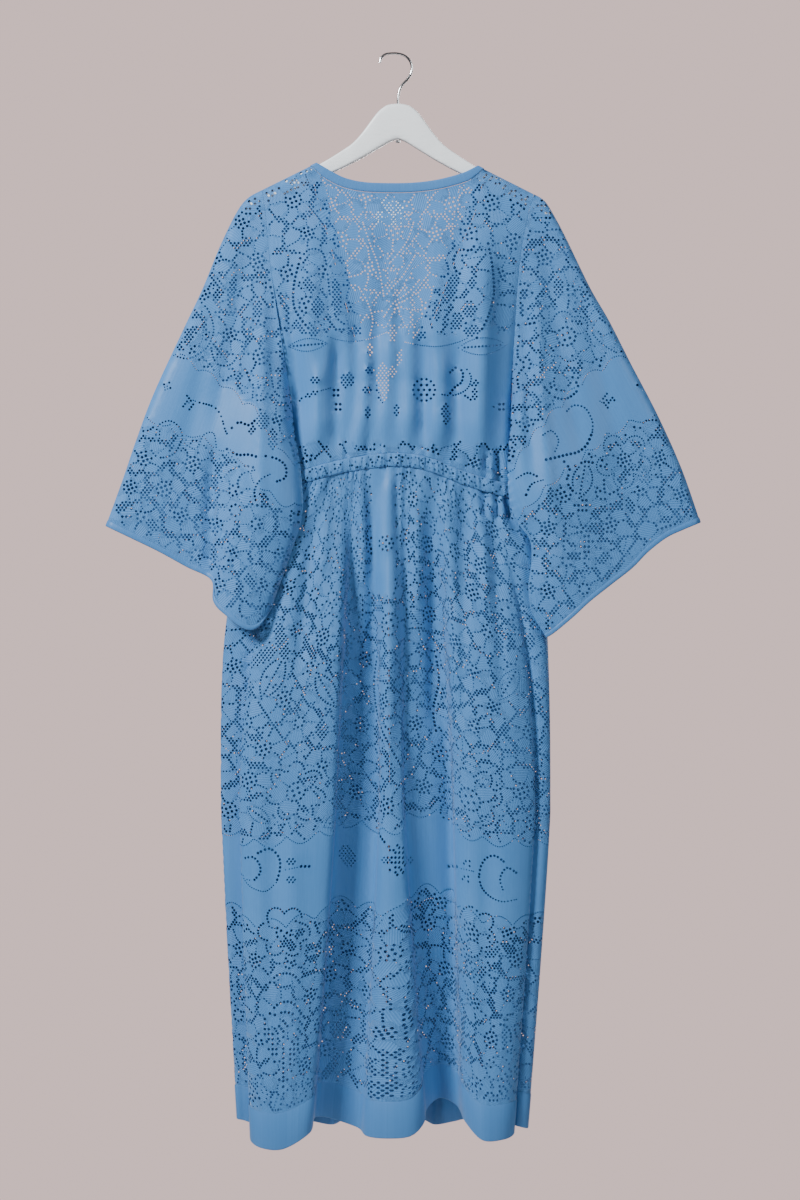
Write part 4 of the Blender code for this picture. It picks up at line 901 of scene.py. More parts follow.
# %% [markdown]
# ## Where the motifs lie on the back
# Places are x and z as seen, in millimetres from the hook. None of these go on the hidden
# front, which gets only the nets between flowers.
# %% Motifs of the bodice
bodice_motifs = [
    net(-13, -217, 6, 9, 15, NET), net(0, -217, 5, 8, -10, NET), net(4, -232, 3, 8, 0, NET),
    net(-8, -208, 9, 3, 0, NET),
    net(-184, -200, 10, 7, 25, 1.9), net(-172, -193, 6, 4, 25, 1.9),
    net(-159, -179, 6, 3, 20, HEAVY),
    net(-138, -168, 4, 2, 20, HEAVY), dotted([(-161, -197), (-151, -191), (-142, -188)], 4.8, 1.9),
    net(184, -209, 9, 7, -25, 1.9), net(164, -197, 9, 5, -28, 1.9), net(147, -186, 10, 4, -28, 1.9),
    net(128, -174, 8, 4, -28, 1.9), dotted([(160, -206), (172, -212), (182, -222)], 4.8, 1.9),
    dotted([(-139, -289), (-148, -327), (-148, -356), (-139, -374), (-125, -391)], 5.4, HEAVY),
    dotted([(-139, -289), (-125, -276), (-108, -280), (-101, -300)], 4.2, MEDIUM),
    net(-126, -327, 8, 12, 30), net(-114, -358, 9, 15, 10), net(-131, -388, 21, 9, -22),
    net(-87, -344, 7, 25, 8),
    dotted([(-100, -312), (-96, -345), (-88, -372), (-74, -384)], 4.6, MEDIUM),
    dotted([(112, -262), (104, -277), (88, -277), (79, -290), (82, -306), (92, -313)], 5.2, HEAVY),
    net(75, -331, 9, 27, -26), net(105, -324, 7, 11, 0), net(101, -361, 11, 13, 20),
    net(105, -392, 12, 8, 20), net(55, -363, 7, 15, -10), net(84, -378, 8, 15, -20),
    dotted([(128, -268), (134, -300), (136, -340), (128, -372), (112, -402)], 5.4, HEAVY),
    dotted([(-50, -238), (-40, -268), (-28, -300), (-20, -345)], 4.4, MEDIUM),
    dotted([(22, -238), (14, -262), (2, -280), (-12, -296)], 4.2, MEDIUM),
    dotted([(24, -285), (8, -312), (-8, -330), (-20, -345)], 4.2, MEDIUM),
    dotted([(30, -320), (14, -338), (-6, -352), (-20, -372)], 4.4, MEDIUM),
    dotted([(-56, -330), (-44, -350), (-36, -376), (-40, -398)], 4.4, MEDIUM),
    net(-62, -392, 10, 8, 0, MEDIUM), net(-8, -395, 6, 12, 0), net(30, -398, 10, 7, 0, MEDIUM),
    leaf(-128, -412, 27, 9, 5), leaf(120, -414, 34, 12, 4),
    dotted([(-100, -400), (-84, -405), (-60, -407), (-36, -402), (-16, -394)], 3.1, LINE),
    dotted([(10, -408), (34, -413), (60, -414), (86, -408), (108, -398)], 3.1, LINE),
    net(-40, -419, 5, 8, 0, HEAVY), net(-40, -448, 6, 5, 0), net(2, -430, 4, 13, -12),
    net(-22, -466, 9, 30, 0, MEDIUM), net(-8, -450, 7, 9, 0, MEDIUM),
    ring(37, -476, 8, 6, HEAVY) + ring(37, -476, 15.5, 14, 1.7) + net(37, -476, 13, 14, 45, 1.7),
    net(-118, -462, 9, 5, -35), net(-123, -482, 9, 3, 20), net(-137, -488, 7, 4, 50),
    dotted([(-124, -483), (-106, -476), (-94, -473)], 3.1, LINE), net(-88, -480, 5, 5, 0, HEAVY),
    net(-72, -462, 9, 12, -20, MEDIUM), net(-85, -500, 5, 8, 30, HEAVY),
    net(-44, -476, 6, 5, 0, MEDIUM), net(-43, -508, 3, 10, 0, MEDIUM),
    dotted([(74, -451), (84, -444), (92, -452), (90, -465), (80, -473), (72, -484)], 4.6, 1.8),
    dotted([(98, -447), (104, -458), (100, -472), (90, -480), (76, -484), (60, -482)], 3.6, 1.3),
    dotted([(88, -480), (98, -486), (106, -492)], 4.0, 1.6),
    net(108, -466, 9, 6, 35), net(109, -482, 5, 8, 0), net(68, -510, 6, 15, 8, MEDIUM),
    net(-2, -505, 4, 9, 0, MEDIUM), net(147, -500, 4, 6, 0, HEAVY), net(136, -500, 5, 3, 0),
]

# %% [markdown]
# The skirt has a plain strip a little below its middle, with a scroll at each side of it.
# The lower lace has its largest nets near the two corners of the hem.
# %% Motifs of the skirt
skirt_motifs = [
    ring(-17, -694, 10, 9, 1.8) + ring(-17, -694, 4.5, 4, 1.8),
    lobes(-145, -1047, 26, 43, 7, 0.2),
    lobes(102, -1058, 28, 46, 7, 0.5),
    net(-165, -833, 9, 27, 15), net(-189, -853, 28, 9, 35), net(-108, -959, 9, 14, 0),
    net(143, -841, 6, 18, 0), net(185, -833, 9, 13, 0), net(71, -966, 6, 8, 0),
    leaf(-178, -885, 34, 15, 62, MEDIUM, 4.4), leaf(-102, -902, 28, 13, -60, MEDIUM, 4.2),
    leaf(-198, -1080, 20, 9, -35), leaf(-88, -1087, 20, 9, 30), leaf(157, -894, 26, 13, 60),
    dotted([(-30, -855), (-34, -900), (-26, -950), (-10, -985), (4, -1010)], 5.0, 1.8),
    dotted([(54, -855), (58, -890), (50, -930), (54, -960)], 5.0, HEAVY),
    net(-1, -1144, 15, 22, 0, 1.8), net(-1, -1144, 26, 7, 0, 1.3),
    dotted([(-30, -1098), (-24, -1112), (-14, -1124), (-6, -1130)], 4.4, HEAVY),
    net(-72, -1138, 12, 16, 20, 1.3),
    dotted([(-199, -1134), (-182, -1128), (-169, -1141), (-168, -1158), (-173, -1176)], 5.2, 1.9),
    dotted([(-173, -1176), (-187, -1188), (-202, -1186), (-214, -1178), (-220, -1168)], 3.2, 1.0),
    dotted([(-217, -1141), (-206, -1140), (-197, -1150), (-196, -1162), (-204, -1172)], 4.6, 1.7),
    dotted([(-204, -1172), (-214, -1172), (-222, -1164)], 3.2, LINE),
    net(-152, -1146, 8, 5, 40), net(-152, -1172, 8, 5, -40), net(-132, -1153, 6, 4, 0, HEAVY),
    dotted([(-160, -1158), (-146, -1155), (-134, -1153)], 3.2, LINE),
    dotted([(150, -1146), (138, -1138), (126, -1141), (118, -1152), (115, -1168)], 4.8, 1.7),
    dotted([(115, -1168), (119, -1183), (131, -1196), (148, -1203), (168, -1200)], 4.2, 1.7, 1.0),
    dotted([(168, -1162), (156, -1155), (148, -1162), (145, -1173), (149, -1186)], 4.6, 1.8, 1.2),
    net(99, -1149, 8, 5, -40), net(97, -1171, 8, 5, 40), net(78, -1153, 6, 4, 0, HEAVY),
    dotted([(107, -1160), (94, -1157), (80, -1154)], 3.2, LINE),
    lobes(-162, -1246, 24, 37, 6, 0.5, MEDIUM, 4.2),
    lobes(104, -1246, 24, 36, 6, 0.1, MEDIUM, 4.2),
    net(16, -1445, 9, 9, 0),
    dotted([(-182, -1318), (-172, -1308), (-160, -1305), (-148, -1308), (-140, -1318)], 4.6, 1.8),
    dotted([(-182, -1362), (-172, -1350), (-158, -1345), (-146, -1350), (-138, -1362)], 5, HEAVY),
    dotted([(-175, -1364), (-160, -1360), (-146, -1364)], 5.0, HEAVY),
    net(-181, -1402, 6, 34, 16, 1.9), net(-145, -1402, 6, 34, -16, 1.9),
    net(-163, -1380, 7, 8, 0, HEAVY), dotted([(-163, -1392), (-163, -1466)], 5.6, HEAVY),
    net(-163, -1456, 7, 7, 0, HEAVY),
    ring(-203, -1477, 17, 18, 1.2), net(-208, -1462, 9, 12, 20),
    net(-200, -1486, 7, 5, -20, HEAVY),
    ring(-128, -1477, 17, 18, 1.2), net(-128, -1462, 9, 12, -20), net(-131, -1486, 7, 5, 20, HEAVY),
    net(-97, -1267, 7, 18, 0), net(-82, -1385, 15, 15, 0), net(-97, -1440, 8, 24, -30, NET),
    net(14, -1371, 6, 30, 0, HEAVY), net(133, -1271, 11, 14, -20), net(116, -1307, 7, 14, -30),
    dotted([(136, -1380), (150, -1378), (160, -1390), (158, -1406), (146, -1414)], 4.8, HEAVY),
    net(154, -1396, 7, 16, -8), ring(109, -1463, 10, 10, 1.6),
    net(133, -1482, 13, 9, 20, 1.8), net(158, -1455, 10, 24, -28, 1.8), ring(142, -1440, 17, 16, 1.4),
    dotted([(88, -1425), (84, -1450), (92, -1478), (108, -1492)], 4.4, 1.5),
    dotted([(-232, -1420), (-226, -1440), (-228, -1470), (-218, -1488)], 4.4, 1.4),
]

# %% [markdown]
# The sleeves are cut from the same lace, so they carry the same kinds of scrolls and nets,
# turned as their cloth hangs.
# %% Motifs of the sleeves
left_sleeve_motifs = [
    net(-206, -208, 8, 6, 40, 1.9), net(-213, -222, 5, 6, 0, 1.9),
    net(-236, -334, 6, 27, -8), net(-200, -361, 7, 13, 0), net(-251, -325, 4, 10, 30),
    dotted([(-279, -352), (-268, -366), (-262, -392), (-272, -416), (-296, -431), (-316, -428)],
           4.2, 1.4),
    dotted([(-262, -392), (-266, -412), (-258, -438), (-238, -440), (-226, -424)], 4.0, 1.5),
    dotted([(-224, -440), (-214, -452), (-210, -466)], 4.6, HEAVY),
    dotted([(-214, -448), (-206, -470), (-206, -488), (-192, -490), (-184, -478)], 4.2, 1.5),
    dotted([(-182, -440), (-176, -476), (-164, -486), (-148, -480)], 3.8, 1.4),
    dotted([(-181, -330), (-176, -350), (-166, -366), (-170, -382)], 4.8, HEAVY),
    sprig(-331, -476, 60, 0.8), sprig(-288, -492, -165, 1.0),
    dotted([(-282, -494), (-262, -500), (-252, -512), (-246, -532), (-242, -540)], 3.4, 1.5),
    dotted([(-344, -540), (-340, -526), (-324, -520), (-310, -530), (-306, -544)], 4.0, 1.3),
    dotted([(-306, -544), (-318, -566), (-340, -572), (-352, -560)], 4.0, 1.5),
    dotted([(-308, -548), (-288, -560), (-276, -540), (-262, -538), (-258, -560)], 3.6, 1.1),
    dotted([(-236, -530), (-226, -522), (-212, -526), (-204, -520)], 5.0, HEAVY),
    dotted([(-243, -560), (-228, -568), (-212, -568), (-198, -572)], 5.0, HEAVY),
    dotted([(-250, -606), (-240, -592), (-222, -584), (-206, -586)], 4.0, 1.2, 1.9),
    dotted([(-222, -622), (-228, -610), (-222, -596), (-204, -590)], 4.4, HEAVY, 1.2),
    dotted([(-200, -640), (-204, -620), (-196, -604), (-182, -596)], 4.4, HEAVY, 1.2),
    net(-206, -528, 5, 12, -20, 1.7), net(-192, -520, 9, 14, -10, 1.3), net(-178, -546, 8, 15, 5),
    dotted([(-188, -570), (-172, -574), (-160, -584), (-160, -600), (-172, -606)], 4.8, 1.8),
    ring(-231, -647, 8, 8, 1.8), net(-349, -668, 10, 7, -30), net(-386, -656, 7, 4, 0, HEAVY),
    net(-210, -748, 8, 13, 20), net(-238, -722, 5, 8, 0, HEAVY),
]
right_sleeve_motifs = [
    net(204, -214, 8, 7, -40, 1.9), net(213, -228, 5, 7, 0, 1.9),
    lobes(239, -400, 27, 36, 6, 0.2, 1.3, 4.2),
    lobes(321, -576, 22, 40, 5, 0.3, 1.2, 3.8),
    net(180, -338, 12, 4, 0, 1.8), net(177, -356, 4, 15, 0, 1.8),
    dotted([(171, -384), (186, -382), (198, -380)], 5.0, HEAVY),
    dotted([(172, -400), (170, -428), (180, -440), (170, -456), (172, -476)], 4.6, 1.8),
    net(228, -330, 6, 17, 0), dotted([(252, -352), (268, -348), (276, -334)], 4.4, 1.7),
    dotted([(282, -378), (276, -394), (292, -412), (312, -424)], 3.6, 1.2),
    dotted([(248, -458), (256, -474), (240, -488), (222, -486), (206, -470)], 4.6, 1.9),
    sprig(287, -492, 5, 1.0), net(340, -462, 3, 8, 0, 1.8),
    dotted([(240, -506), (250, -498), (266, -502), (276, -520), (276, -536)], 4.6, 1.4),
    dotted([(276, -536), (268, -554), (256, -564), (240, -568), (224, -572), (206, -576)],
           5.6, 2.1),
    dotted([(206, -540), (218, -534), (228, -548), (222, -566)], 4.0, 1.3),
    dotted([(168, -602), (184, -594), (200, -600)], 4.0, 1.2, 1.9),
    dotted([(182, -625), (190, -610), (206, -604)], 4.2, HEAVY, 1.1),
    dotted([(236, -578), (244, -590), (240, -606), (250, -622)], 4.4, HEAVY),
    dotted([(252, -584), (266, -578), (282, -580), (290, -576)], 5.0, HEAVY),
    leaf(262, -604, 26, 14, 80, 1.4, 4.0), net(262, -640, 13, 12, 20, 1.9),
    dotted([(288, -584), (292, -600), (296, -624), (316, -616)], 4.8, 1.9),
    net(268, -695, 8, 15, -15, HEAVY), net(250, -712, 10, 6, 0, 1.8), net(292, -715, 12, 7, 20),
    net(330, -640, 6, 14, 20), net(352, -600, 9, 12, 40, 1.2), net(381, -660, 9, 6, 30),
    dotted([(344, -530), (352, -520), (370, -520), (380, -530)], 4.4, 1.6),
]

# %% [markdown]
# The ring in the middle of each large flower is listed by itself, because the flowers of
# the ground are spread round it.
# %% Hearts of the large flowers
# x, z and radius of the ring, mm
ROSES = {
    "bodice": [
        (-149, -206, 11), (132, -210, 11),
    ],
    "skirt": [
        (-107, -827, 11), (-12, -809, 15), (-218, -948, 11), (-212, -1031, 11), (-23, -919, 10),
        (-140, -948, 7), (-145, -1047, 13), (81, -834, 10), (189, -962, 11), (175, -1046, 11),
        (102, -1058, 15), (155, -792, 18), (108, -955, 8), (-162, -1246, 12), (104, -1246, 11),
        (-78, -1208, 7), (-43, -1436, 8), (16, -1445, 14), (109, -1463, 5),
    ],
    "sleeve_left": [
        (-239, -398, 9), (-195, -428, 11), (-292, -581, 10), (-381, -614, 9),
    ],
    "sleeve_right": [
        (239, -400, 13), (321, -576, 9), (300, -668, 10),
    ],
}

# %% [markdown]
# ## Filling in the ground
# Between the measured motifs the lace is a field of flowers. Each has a ring of holes for
# its heart, five to seven petals parted by fine dotted lines, and a ribbon of net between
# it and its neighbours. Flowers are scattered evenly, leaves fill the larger gaps, and the
# ribbons run halfway between one flower or leaf and the next.
# %% Field of flowers
FLOWER_PITCH = 60.0    # from one flower to the next, mm
PETAL_REACH = 20.0     # from a flower's heart to the middle of a petal
RIBBON = (1.5, 6.6)    # least and greatest half width of the nets between flowers
PLAIN_TOP, PLAIN_LOW = 0.548, 0.662          # plain strip of the skirt, shares of its length
PLAIN_TONGUE = (-21.0, 17.0, -765.0)         # middle x, half width and end z of a plain strip
BORDER_END = 0.962                           # where the skirt's lace ends above the hem
BODICE_PLAIN = (-548.0, -398.0)              # plain strip of the bodice, z in mm
SLEEVE_PLAIN = (0.60, 0.20, 0.085)           # middle at the fold, its slope and half width
SCALLOP = 46.0                               # width of one scallop, mm
LINE_OFF = {"skirt": 0.004, "sleeve": 0.007}     # from the flowers to their dotted edge
LINE_EVERY, LINE_STEP = 6, 3.3               # points on it and holes along it, mm
SKIRT_SCALLOP, BORDER_SCALLOP, SLEEVE_SCALLOP = 0.014, 0.018, 0.02     # heights, shares
TOP_SCALLOP, LOW_SCALLOP = 12, 8             # heights on the bodice, mm
HONEYCOMB = 0.87                             # from row to row, for a spacing of one
HEART_RADII, HEART_APART = (7.5, 11.5), 0.72
FLOWER_LOOSE, LEAF_LOOSE = 0.16, 0.25        # how far places stray, shares of the spacing
LEAST_PETALS, MOST_PETALS = 5, 7
PARTINGS = (0.95, 1.25, 1.6)                 # radii of the holes between petals
PETAL_STRAY, BOW_STRAY = (0.95, 1.15), (-2.5, 2.5)       # shares of the reach, and mm
PARTING_FROM, PARTING_BOW, PETAL_ROOM, PARTING_PAST = 4, 9, 10, 11     # mm beyond a ring
PARTING_STEP, VEIN_STEP, VEIN_HOLE = 3.9, 3.6, 1.0
LEAF_PITCH, LEAF_APART, LEAF_VEIN = 1.1, 1.75, 0.42      # shares of a petal's reach
LUCKY = 0.3                                  # ribbons below this have a finer edge
NET_HOLE, EDGE_HOLE, EDGE_ROOM = 1.65, 1.25, 1.2
GOLDEN, SILVER = 0.618, 0.414                # spread breadths and directions evenly


def scallops(s):
    return np.abs(np.sin(math.pi * s / SCALLOP))


def strip_edges(piece, s):
    """Both edges of the plain strip and the end of the lace, as shares of the length."""
    wave = scallops(s)
    if piece["name"].startswith("skirt"):
        rise = SKIRT_SCALLOP * (1 - wave)
        return PLAIN_TOP - rise, PLAIN_LOW + rise, BORDER_END - BORDER_SCALLOP * (1 - wave)
    middle = SLEEVE_PLAIN[0] - SLEEVE_PLAIN[1] * s / piece["width"]
    half = SLEEVE_PLAIN[2] + SLEEVE_SCALLOP * wave
    return middle - half, middle + half, np.full(len(s), 2.0)


def floral(piece, flat):
    """True where the cloth carries flowers."""
    name = piece["name"]
    if name.startswith("casing"):
        return np.ones(len(flat), bool)
    x, z = as_seen(place(piece, flat)).T
    if name.startswith("bodice"):
        wave = scallops(flat[:, 0])
        return ((z > BODICE_PLAIN[1] + TOP_SCALLOP * (1 - wave))
                | (z < BODICE_PLAIN[0] - LOW_SCALLOP * wave))
    share = flat[:, 1] / piece["length"]
    top, low, end = strip_edges(piece, flat[:, 0])
    upper = share < top
    if name == "skirt_back":
        upper &= (np.abs(x - PLAIN_TONGUE[0]) > PLAIN_TONGUE[1]) | (z < PLAIN_TONGUE[2])
    return upper | ((share > low) & (share < end))


def scatter(low, high, pitch, jitter):
    """Points on a loose honeycomb."""
    width, length = high - low
    row = pitch * HONEYCOMB
    points = [((c + 0.5 * (r % 2)) * pitch, r * row)
              for r in range(-1, int(length / row) + 3)
              for c in range(-1, int(width / pitch) + 3)]
    return low + np.array(points) + rng.uniform(-jitter, jitter, (len(points), 2)) * pitch


def apart(places, others):
    """From each place to the nearest of the others."""
    return np.linalg.norm(places[:, None] - others[None], axis=2).min(axis=1)


def net_between(low, high, seeds, owners, nets):
    """A lattice of holes halfway between seeds of different flowers."""
    tree = search_tree(seeds)
    lattice = []
    across, down = (high - low) / (NET_ACROSS, NET_DOWN)
    for i in range(int(across) + 1):
        for j in range(i % 2, int(down) + 1, 2):
            s, t = low + (i * NET_ACROSS, j * NET_DOWN)
            (near, a, first), (other, b, second) = tree.find_n((s, t, 0.0), 2)
            if owners[a] == owners[b]:
                continue
            beside = (second ** 2 - first ** 2) / (2 * (near - other).length)
            luck = (min(a, b) * GOLDEN + max(a, b) * SILVER) % 1.0
            if owners[a] < 0 or owners[b] < 0:
                luck = luck * 0.8 - 0.15
            half = (RIBBON[0] + (RIBBON[1] - RIBBON[0]) * luck) * nets
            if beside < half:
                lattice.append((s, t, NET_HOLE))
            elif beside < half + EDGE_ROOM and luck < LUCKY:
                lattice.append((s, t, EDGE_HOLE))
    return lattice


def flower_field(piece, roses, scale, nets, plain=False):
    """Holes of the flowers between the motifs, and the middles of all petals."""
    low, high = chart_box(piece)
    pitch, reach = FLOWER_PITCH * scale, PETAL_REACH * scale
    hearts = scatter(low, high, pitch, FLOWER_LOOSE)
    if len(roses):
        clear = apart(hearts, roses[:, :2]) > pitch * HEART_APART
        hearts = np.concatenate((roses[:, :2], hearts[clear]))
    holes = []
    seeds, owners = list(hearts), list(range(len(hearts)))
    for number, heart in enumerate(hearts):
        radius = roses[number, 2] if number < len(roses) else rng.uniform(*HEART_RADII) * scale
        holes += rosette(*heart, radius)
        petals = int(rng.integers(LEAST_PETALS, MOST_PETALS + 1))
        turned = rng.uniform(0, math.pi)
        for k in range(petals):
            angle = turned + 2 * math.pi * k / petals
            far = max(reach, radius + PETAL_ROOM) * rng.uniform(*PETAL_STRAY)
            seeds.append(heart + far * np.array((math.cos(angle), math.sin(angle))))
            owners.append(number)
            gap = angle + math.pi / petals
            way = np.array((math.cos(gap), math.sin(gap)))
            bow = np.array((-way[1], way[0])) * rng.uniform(*BOW_STRAY)
            parting = [heart + way * (radius + PARTING_FROM),
                       heart + way * (radius + PARTING_BOW) + bow,
                       heart + way * (far + PARTING_PAST)]
            holes += dotted(parting, PARTING_STEP, rng.choice(PARTINGS))
    leaves = scatter(low, high, reach * LEAF_PITCH, LEAF_LOOSE)
    for number, middle in enumerate(leaves[apart(leaves, hearts) > reach * LEAF_APART]):
        seeds.append(middle)
        owners.append(-1 - number)
        angle = rng.uniform(0, math.pi)
        way = np.array((math.cos(angle), math.sin(angle))) * reach * LEAF_VEIN
        holes += dotted([middle - way, middle + way], VEIN_STEP, VEIN_HOLE)
    holes = np.array(net_between(low, high, seeds, owners, nets) + ([] if plain else holes))
    return holes[floral(piece, from_chart(piece, holes[:, :2]))], np.array(seeds)


def zone_lines(piece):
    """Fine dotted scallops where flowers meet plain cloth."""
    kind = piece["name"].split("_")[0]
    if kind not in ("skirt", "sleeve"):
        return []
    s = np.arange(0.0, piece["width"], 1.0)
    off = LINE_OFF[kind]
    top, low, end = strip_edges(piece, s)
    holes = []
    for line in (top + off, low - off, end + off)[:3 if kind == "skirt" else 2]:
        path = to_chart(piece, np.column_stack((s, line * piece["length"]))[::LINE_EVERY])
        holes += dotted(path, LINE_STEP, LINE)
    return holes


# %% [markdown]
# ## Choosing the holes
# Two holes never touch: a thread of cloth stays between them. Motifs are laid first, then
# the scallops, and the field of flowers fills what is left. Near the edges of a panel the
# cloth stays whole.
# %% Sifting the holes
THREAD = 0.4           # least width of cloth between two holes
WORN = {"back": 1.1, "front": 0.66}         # the hidden front is cut a little finer
OPEN_V_SIZE = 0.70     # in the open V, with only the room behind, the holes are narrower
BESIDE_V = 3           # and this far beside it, mm
MARGIN = 4.0           # plain cloth along a seam
CELL = 10.0            # side of the squares in which neighbours are looked up, mm
SQUEEZED = 0.55        # gathered cloth counts as no narrower than this share


def in_open_v(piece, flat):
    """True for places on the back that lie behind the open fronts."""
    if piece["name"] != "bodice_back":
        return np.zeros(len(flat), bool)
    x, _, z = place(piece, flat).T
    left, right = (np.interp(-z, -np.array(line)[:, 1], np.array(line)[:, 0])
                   for line in FRONT_V.values())
    wide = (x > left - BESIDE_V) & (x < right + BESIDE_V)
    return wide & (z > FRONT_V["left"][-1][1])


def sift(piece, groups, margins):
    """Keeps each hole that leaves room; groups are rows of x, y, radius with a clearance."""
    kept = {}
    chosen = []
    worn = WORN["front" if "front" in piece["name"] else "back"]
    left, right, top, bottom = margins
    for order, (group, clearance) in enumerate(groups):
        group = np.array(group).reshape(-1, 3)
        flat = from_chart(piece, group[:, :2])
        sizes = group[:, 2] * worn * np.where(in_open_v(piece, flat), OPEN_V_SIZE, 1.0)
        edge = sizes[:, None]
        squeeze = np.ones((len(flat), 2))
        if not laid_flat(piece):
            squeeze = np.clip(facing(piece, flat)[1], SQUEEZED, 1.0)
        inside = np.all((flat > edge + (left, top))
                        & (flat < (piece["width"], piece["length"]) - edge - (right, bottom)),
                        axis=1)
        for (s, t), r, (wide, tall) in zip(group[inside, :2], sizes[inside], squeeze[inside]):
            i, j = int(s // CELL), int(t // CELL)
            near = [hole for a in (-1, 0, 1) for b in (-1, 0, 1)
                    for hole in kept.get((i + a, j + b), ())]
            if all(((s - hole[0]) * wide) ** 2 + ((t - hole[1]) * tall) ** 2
                   > (r + hole[2] + (clearance if hole[3] != order else THREAD)) ** 2
                   for hole in near):
                kept.setdefault((i, j), []).append((s, t, r, order))
                chosen.append((s, t, r))
    return np.array(chosen)


# %% [markdown]
# ## Making objects
# Each mesh has a look and smooth shading. Its UV map is the flat cloth in metres, so that
# weave and brushing follow the threads.
# %% Making objects


def add_mesh(name, points, faces, look, smooth=True):
    mesh = bpy.data.meshes.new(name)
    mesh.from_pydata(points, [], faces)
    mesh.polygons.foreach_set("use_smooth", [smooth] * len(mesh.polygons))
    mesh.materials.append(look)
    return mesh


def lay_uv(mesh, flat):
    corners = np.empty(len(mesh.loops), int)
    mesh.loops.foreach_get("vertex_index", corners)
    mesh.uv_layers.new(name="flat cloth").data.foreach_set("uv", (flat[corners] * MM).ravel())


def add_object(name, data):
    made = bpy.data.objects.new(name, data)
    bpy.context.scene.collection.objects.link(made)
    return made


# %% [markdown]
# ## Cutting the lace
# The flat cloth is one polygon and every hole is another. A constrained triangulation
# joins them with a loose grid of points that lets the cloth bend, and the triangles
# inside the holes are left out. Each point is then moved from the flat cloth to its place
# on the hanging one.
# %% Lace cloth
GROUND_STEP = 8.0      # spacing of the points that let plain cloth bend
EDGE_STEP = 4.0        # spacing of the points along the panel's rim
SMALL_HOLE, SMALL_CORNERS, CORNERS = 1.5, 6, 8      # holes below this radius have fewer corners
LEAST_STRETCH, MOST_STRETCH = 0.8, 1.3
BEND_ROOM = 1.6        # from a hole to the nearest loose point, mm


def outline(width, length):
    across = np.linspace(0, width, int(width / EDGE_STEP) + 2)
    down = np.linspace(0, length, int(length / EDGE_STEP) + 2)
    return ([(s, 0.0) for s in across[:-1]] + [(width, t) for t in down[:-1]]
            + [(s, length) for s in across[:0:-1]] + [(0.0, t) for t in down[:0:-1]])


def hole_corners(piece, holes):
    """The corners of every hole on the chart, rounder where gathers squeeze the cloth."""
    stretch = np.ones((len(holes), 2))
    if not laid_flat(piece):
        _, stretch = facing(piece, holes[:, :2])
    for (s, t, r), (wide, tall) in zip(holes, np.clip(stretch, LEAST_STRETCH, MOST_STRETCH)):
        count = SMALL_CORNERS if r < SMALL_HOLE else CORNERS
        angles = [2 * math.pi * (k + 0.5) / count for k in range(count)]
        yield [Vector((s + r / wide * math.cos(a), t + r / tall * math.sin(a))) for a in angles]


def loose_points(piece, holes, ground):
    """Points that let the plain cloth bend, none of them close to a hole."""
    tree = search_tree(holes[:, :2])
    rows = int(piece["length"] / (ground * HONEYCOMB))
    columns = int(piece["width"] / ground)
    spots = [((column + 0.5 + 0.5 * (row % 2)) * piece["width"] / (columns + 0.5),
              row * piece["length"] / rows)
             for row in range(1, rows) for column in range(columns)]
    for s, t in to_chart(piece, np.array(spots)):
        _, nearest, distance = tree.find((s, t, 0.0))
        if distance > holes[nearest][2] + BEND_ROOM:
            yield Vector((s, t))


def cut_lace(piece, holes, ground):
    """Triangles between the holes, with their points on the chart and on the flat cloth."""
    rim = np.array(outline(piece["width"], piece["length"]))
    edge = to_chart(piece, rim)
    points = [Vector(p) for p in edge]
    before = np.roll(edge, 1, axis=0)
    mirrored = np.sum(before[:, 0] * edge[:, 1] - before[:, 1] * edge[:, 0]) < 0
    polygons = [list(range(len(rim)))[::-1 if mirrored else 1]]
    for corners in hole_corners(piece, holes):
        polygons.append(list(range(len(points), len(points) + len(corners))))
        points += corners
    points += loose_points(piece, holes, ground)
    made, _, faces, made_from, _, owners = delaunay_2d_cdt(points, [], polygons, 1, 1e-4, True)
    faces = np.array([face for face, owner in zip(faces, owners) if owner == [0]])
    used = np.unique(faces)
    spots = np.array([tuple(made[old]) for old in used])
    flat = from_chart(piece, spots)
    for i, old in enumerate(used):
        on_rim = [source for source in made_from[old] if source < len(rim)]
        if on_rim:
            flat[i] = rim[on_rim[0]]
    return np.searchsorted(used, faces), spots, flat


def lace_cloth(name, piece, holes, look, seeds, ground=GROUND_STEP):
    faces, spots, flat = cut_lace(piece, holes, ground)
    space = place(piece, flat) * MM
    way = np.cross(space[faces[:, 1]] - space[faces[:, 0]], space[faces[:, 2]] - space[faces[:, 0]])
    if way[:, 1].sum() * (1 if "front" in name else -1) < 0:
        faces = faces[:, ::-1]
    mesh = add_mesh(name, space.tolist(), faces.tolist(), look)
    lay_uv(mesh, flat)
    tree = search_tree(seeds)
    slant = np.array([tree.find((s, t, 0.0))[1] * GOLDEN % 1.0 for s, t in spots])
    for title, values in (("petal", floral(piece, flat).astype(float)), ("slant", slant)):
        mesh.attributes.new(title, "FLOAT", "POINT").data.foreach_set("value", values)
    print(name, len(holes), "holes", len(faces), "triangles")
    return add_object(name, mesh)


# %% [markdown]
# ## Cloth finish
# The cotton has a soft satin look. Plain ground is smoother, petals are brushed: fine
# ridges run across each one in its own direction. Each ridge is also painted into the colour,
# lighter on its crest and darker in its groove, as painted light and shade. One node group
# serves every cloth, and its inputs say how strong the brushing and the weave are.
# %% Cloth materials
RIDGE = 0.0024         # from one brushed ridge to the next, m


def feed(tree, sockets, values):
    """Sets each named or numbered input, or links it where its value is another socket."""
    for title, value in values.items():
        if isinstance(value, bpy.types.NodeSocket):
            tree.links.new(value, sockets[title])
        else:
            sockets[title].default_value = value


def add_node(tree, kind, values):
    node = tree.nodes.new("ShaderNode" + kind)
    feed(tree, node.inputs, values)
    return node


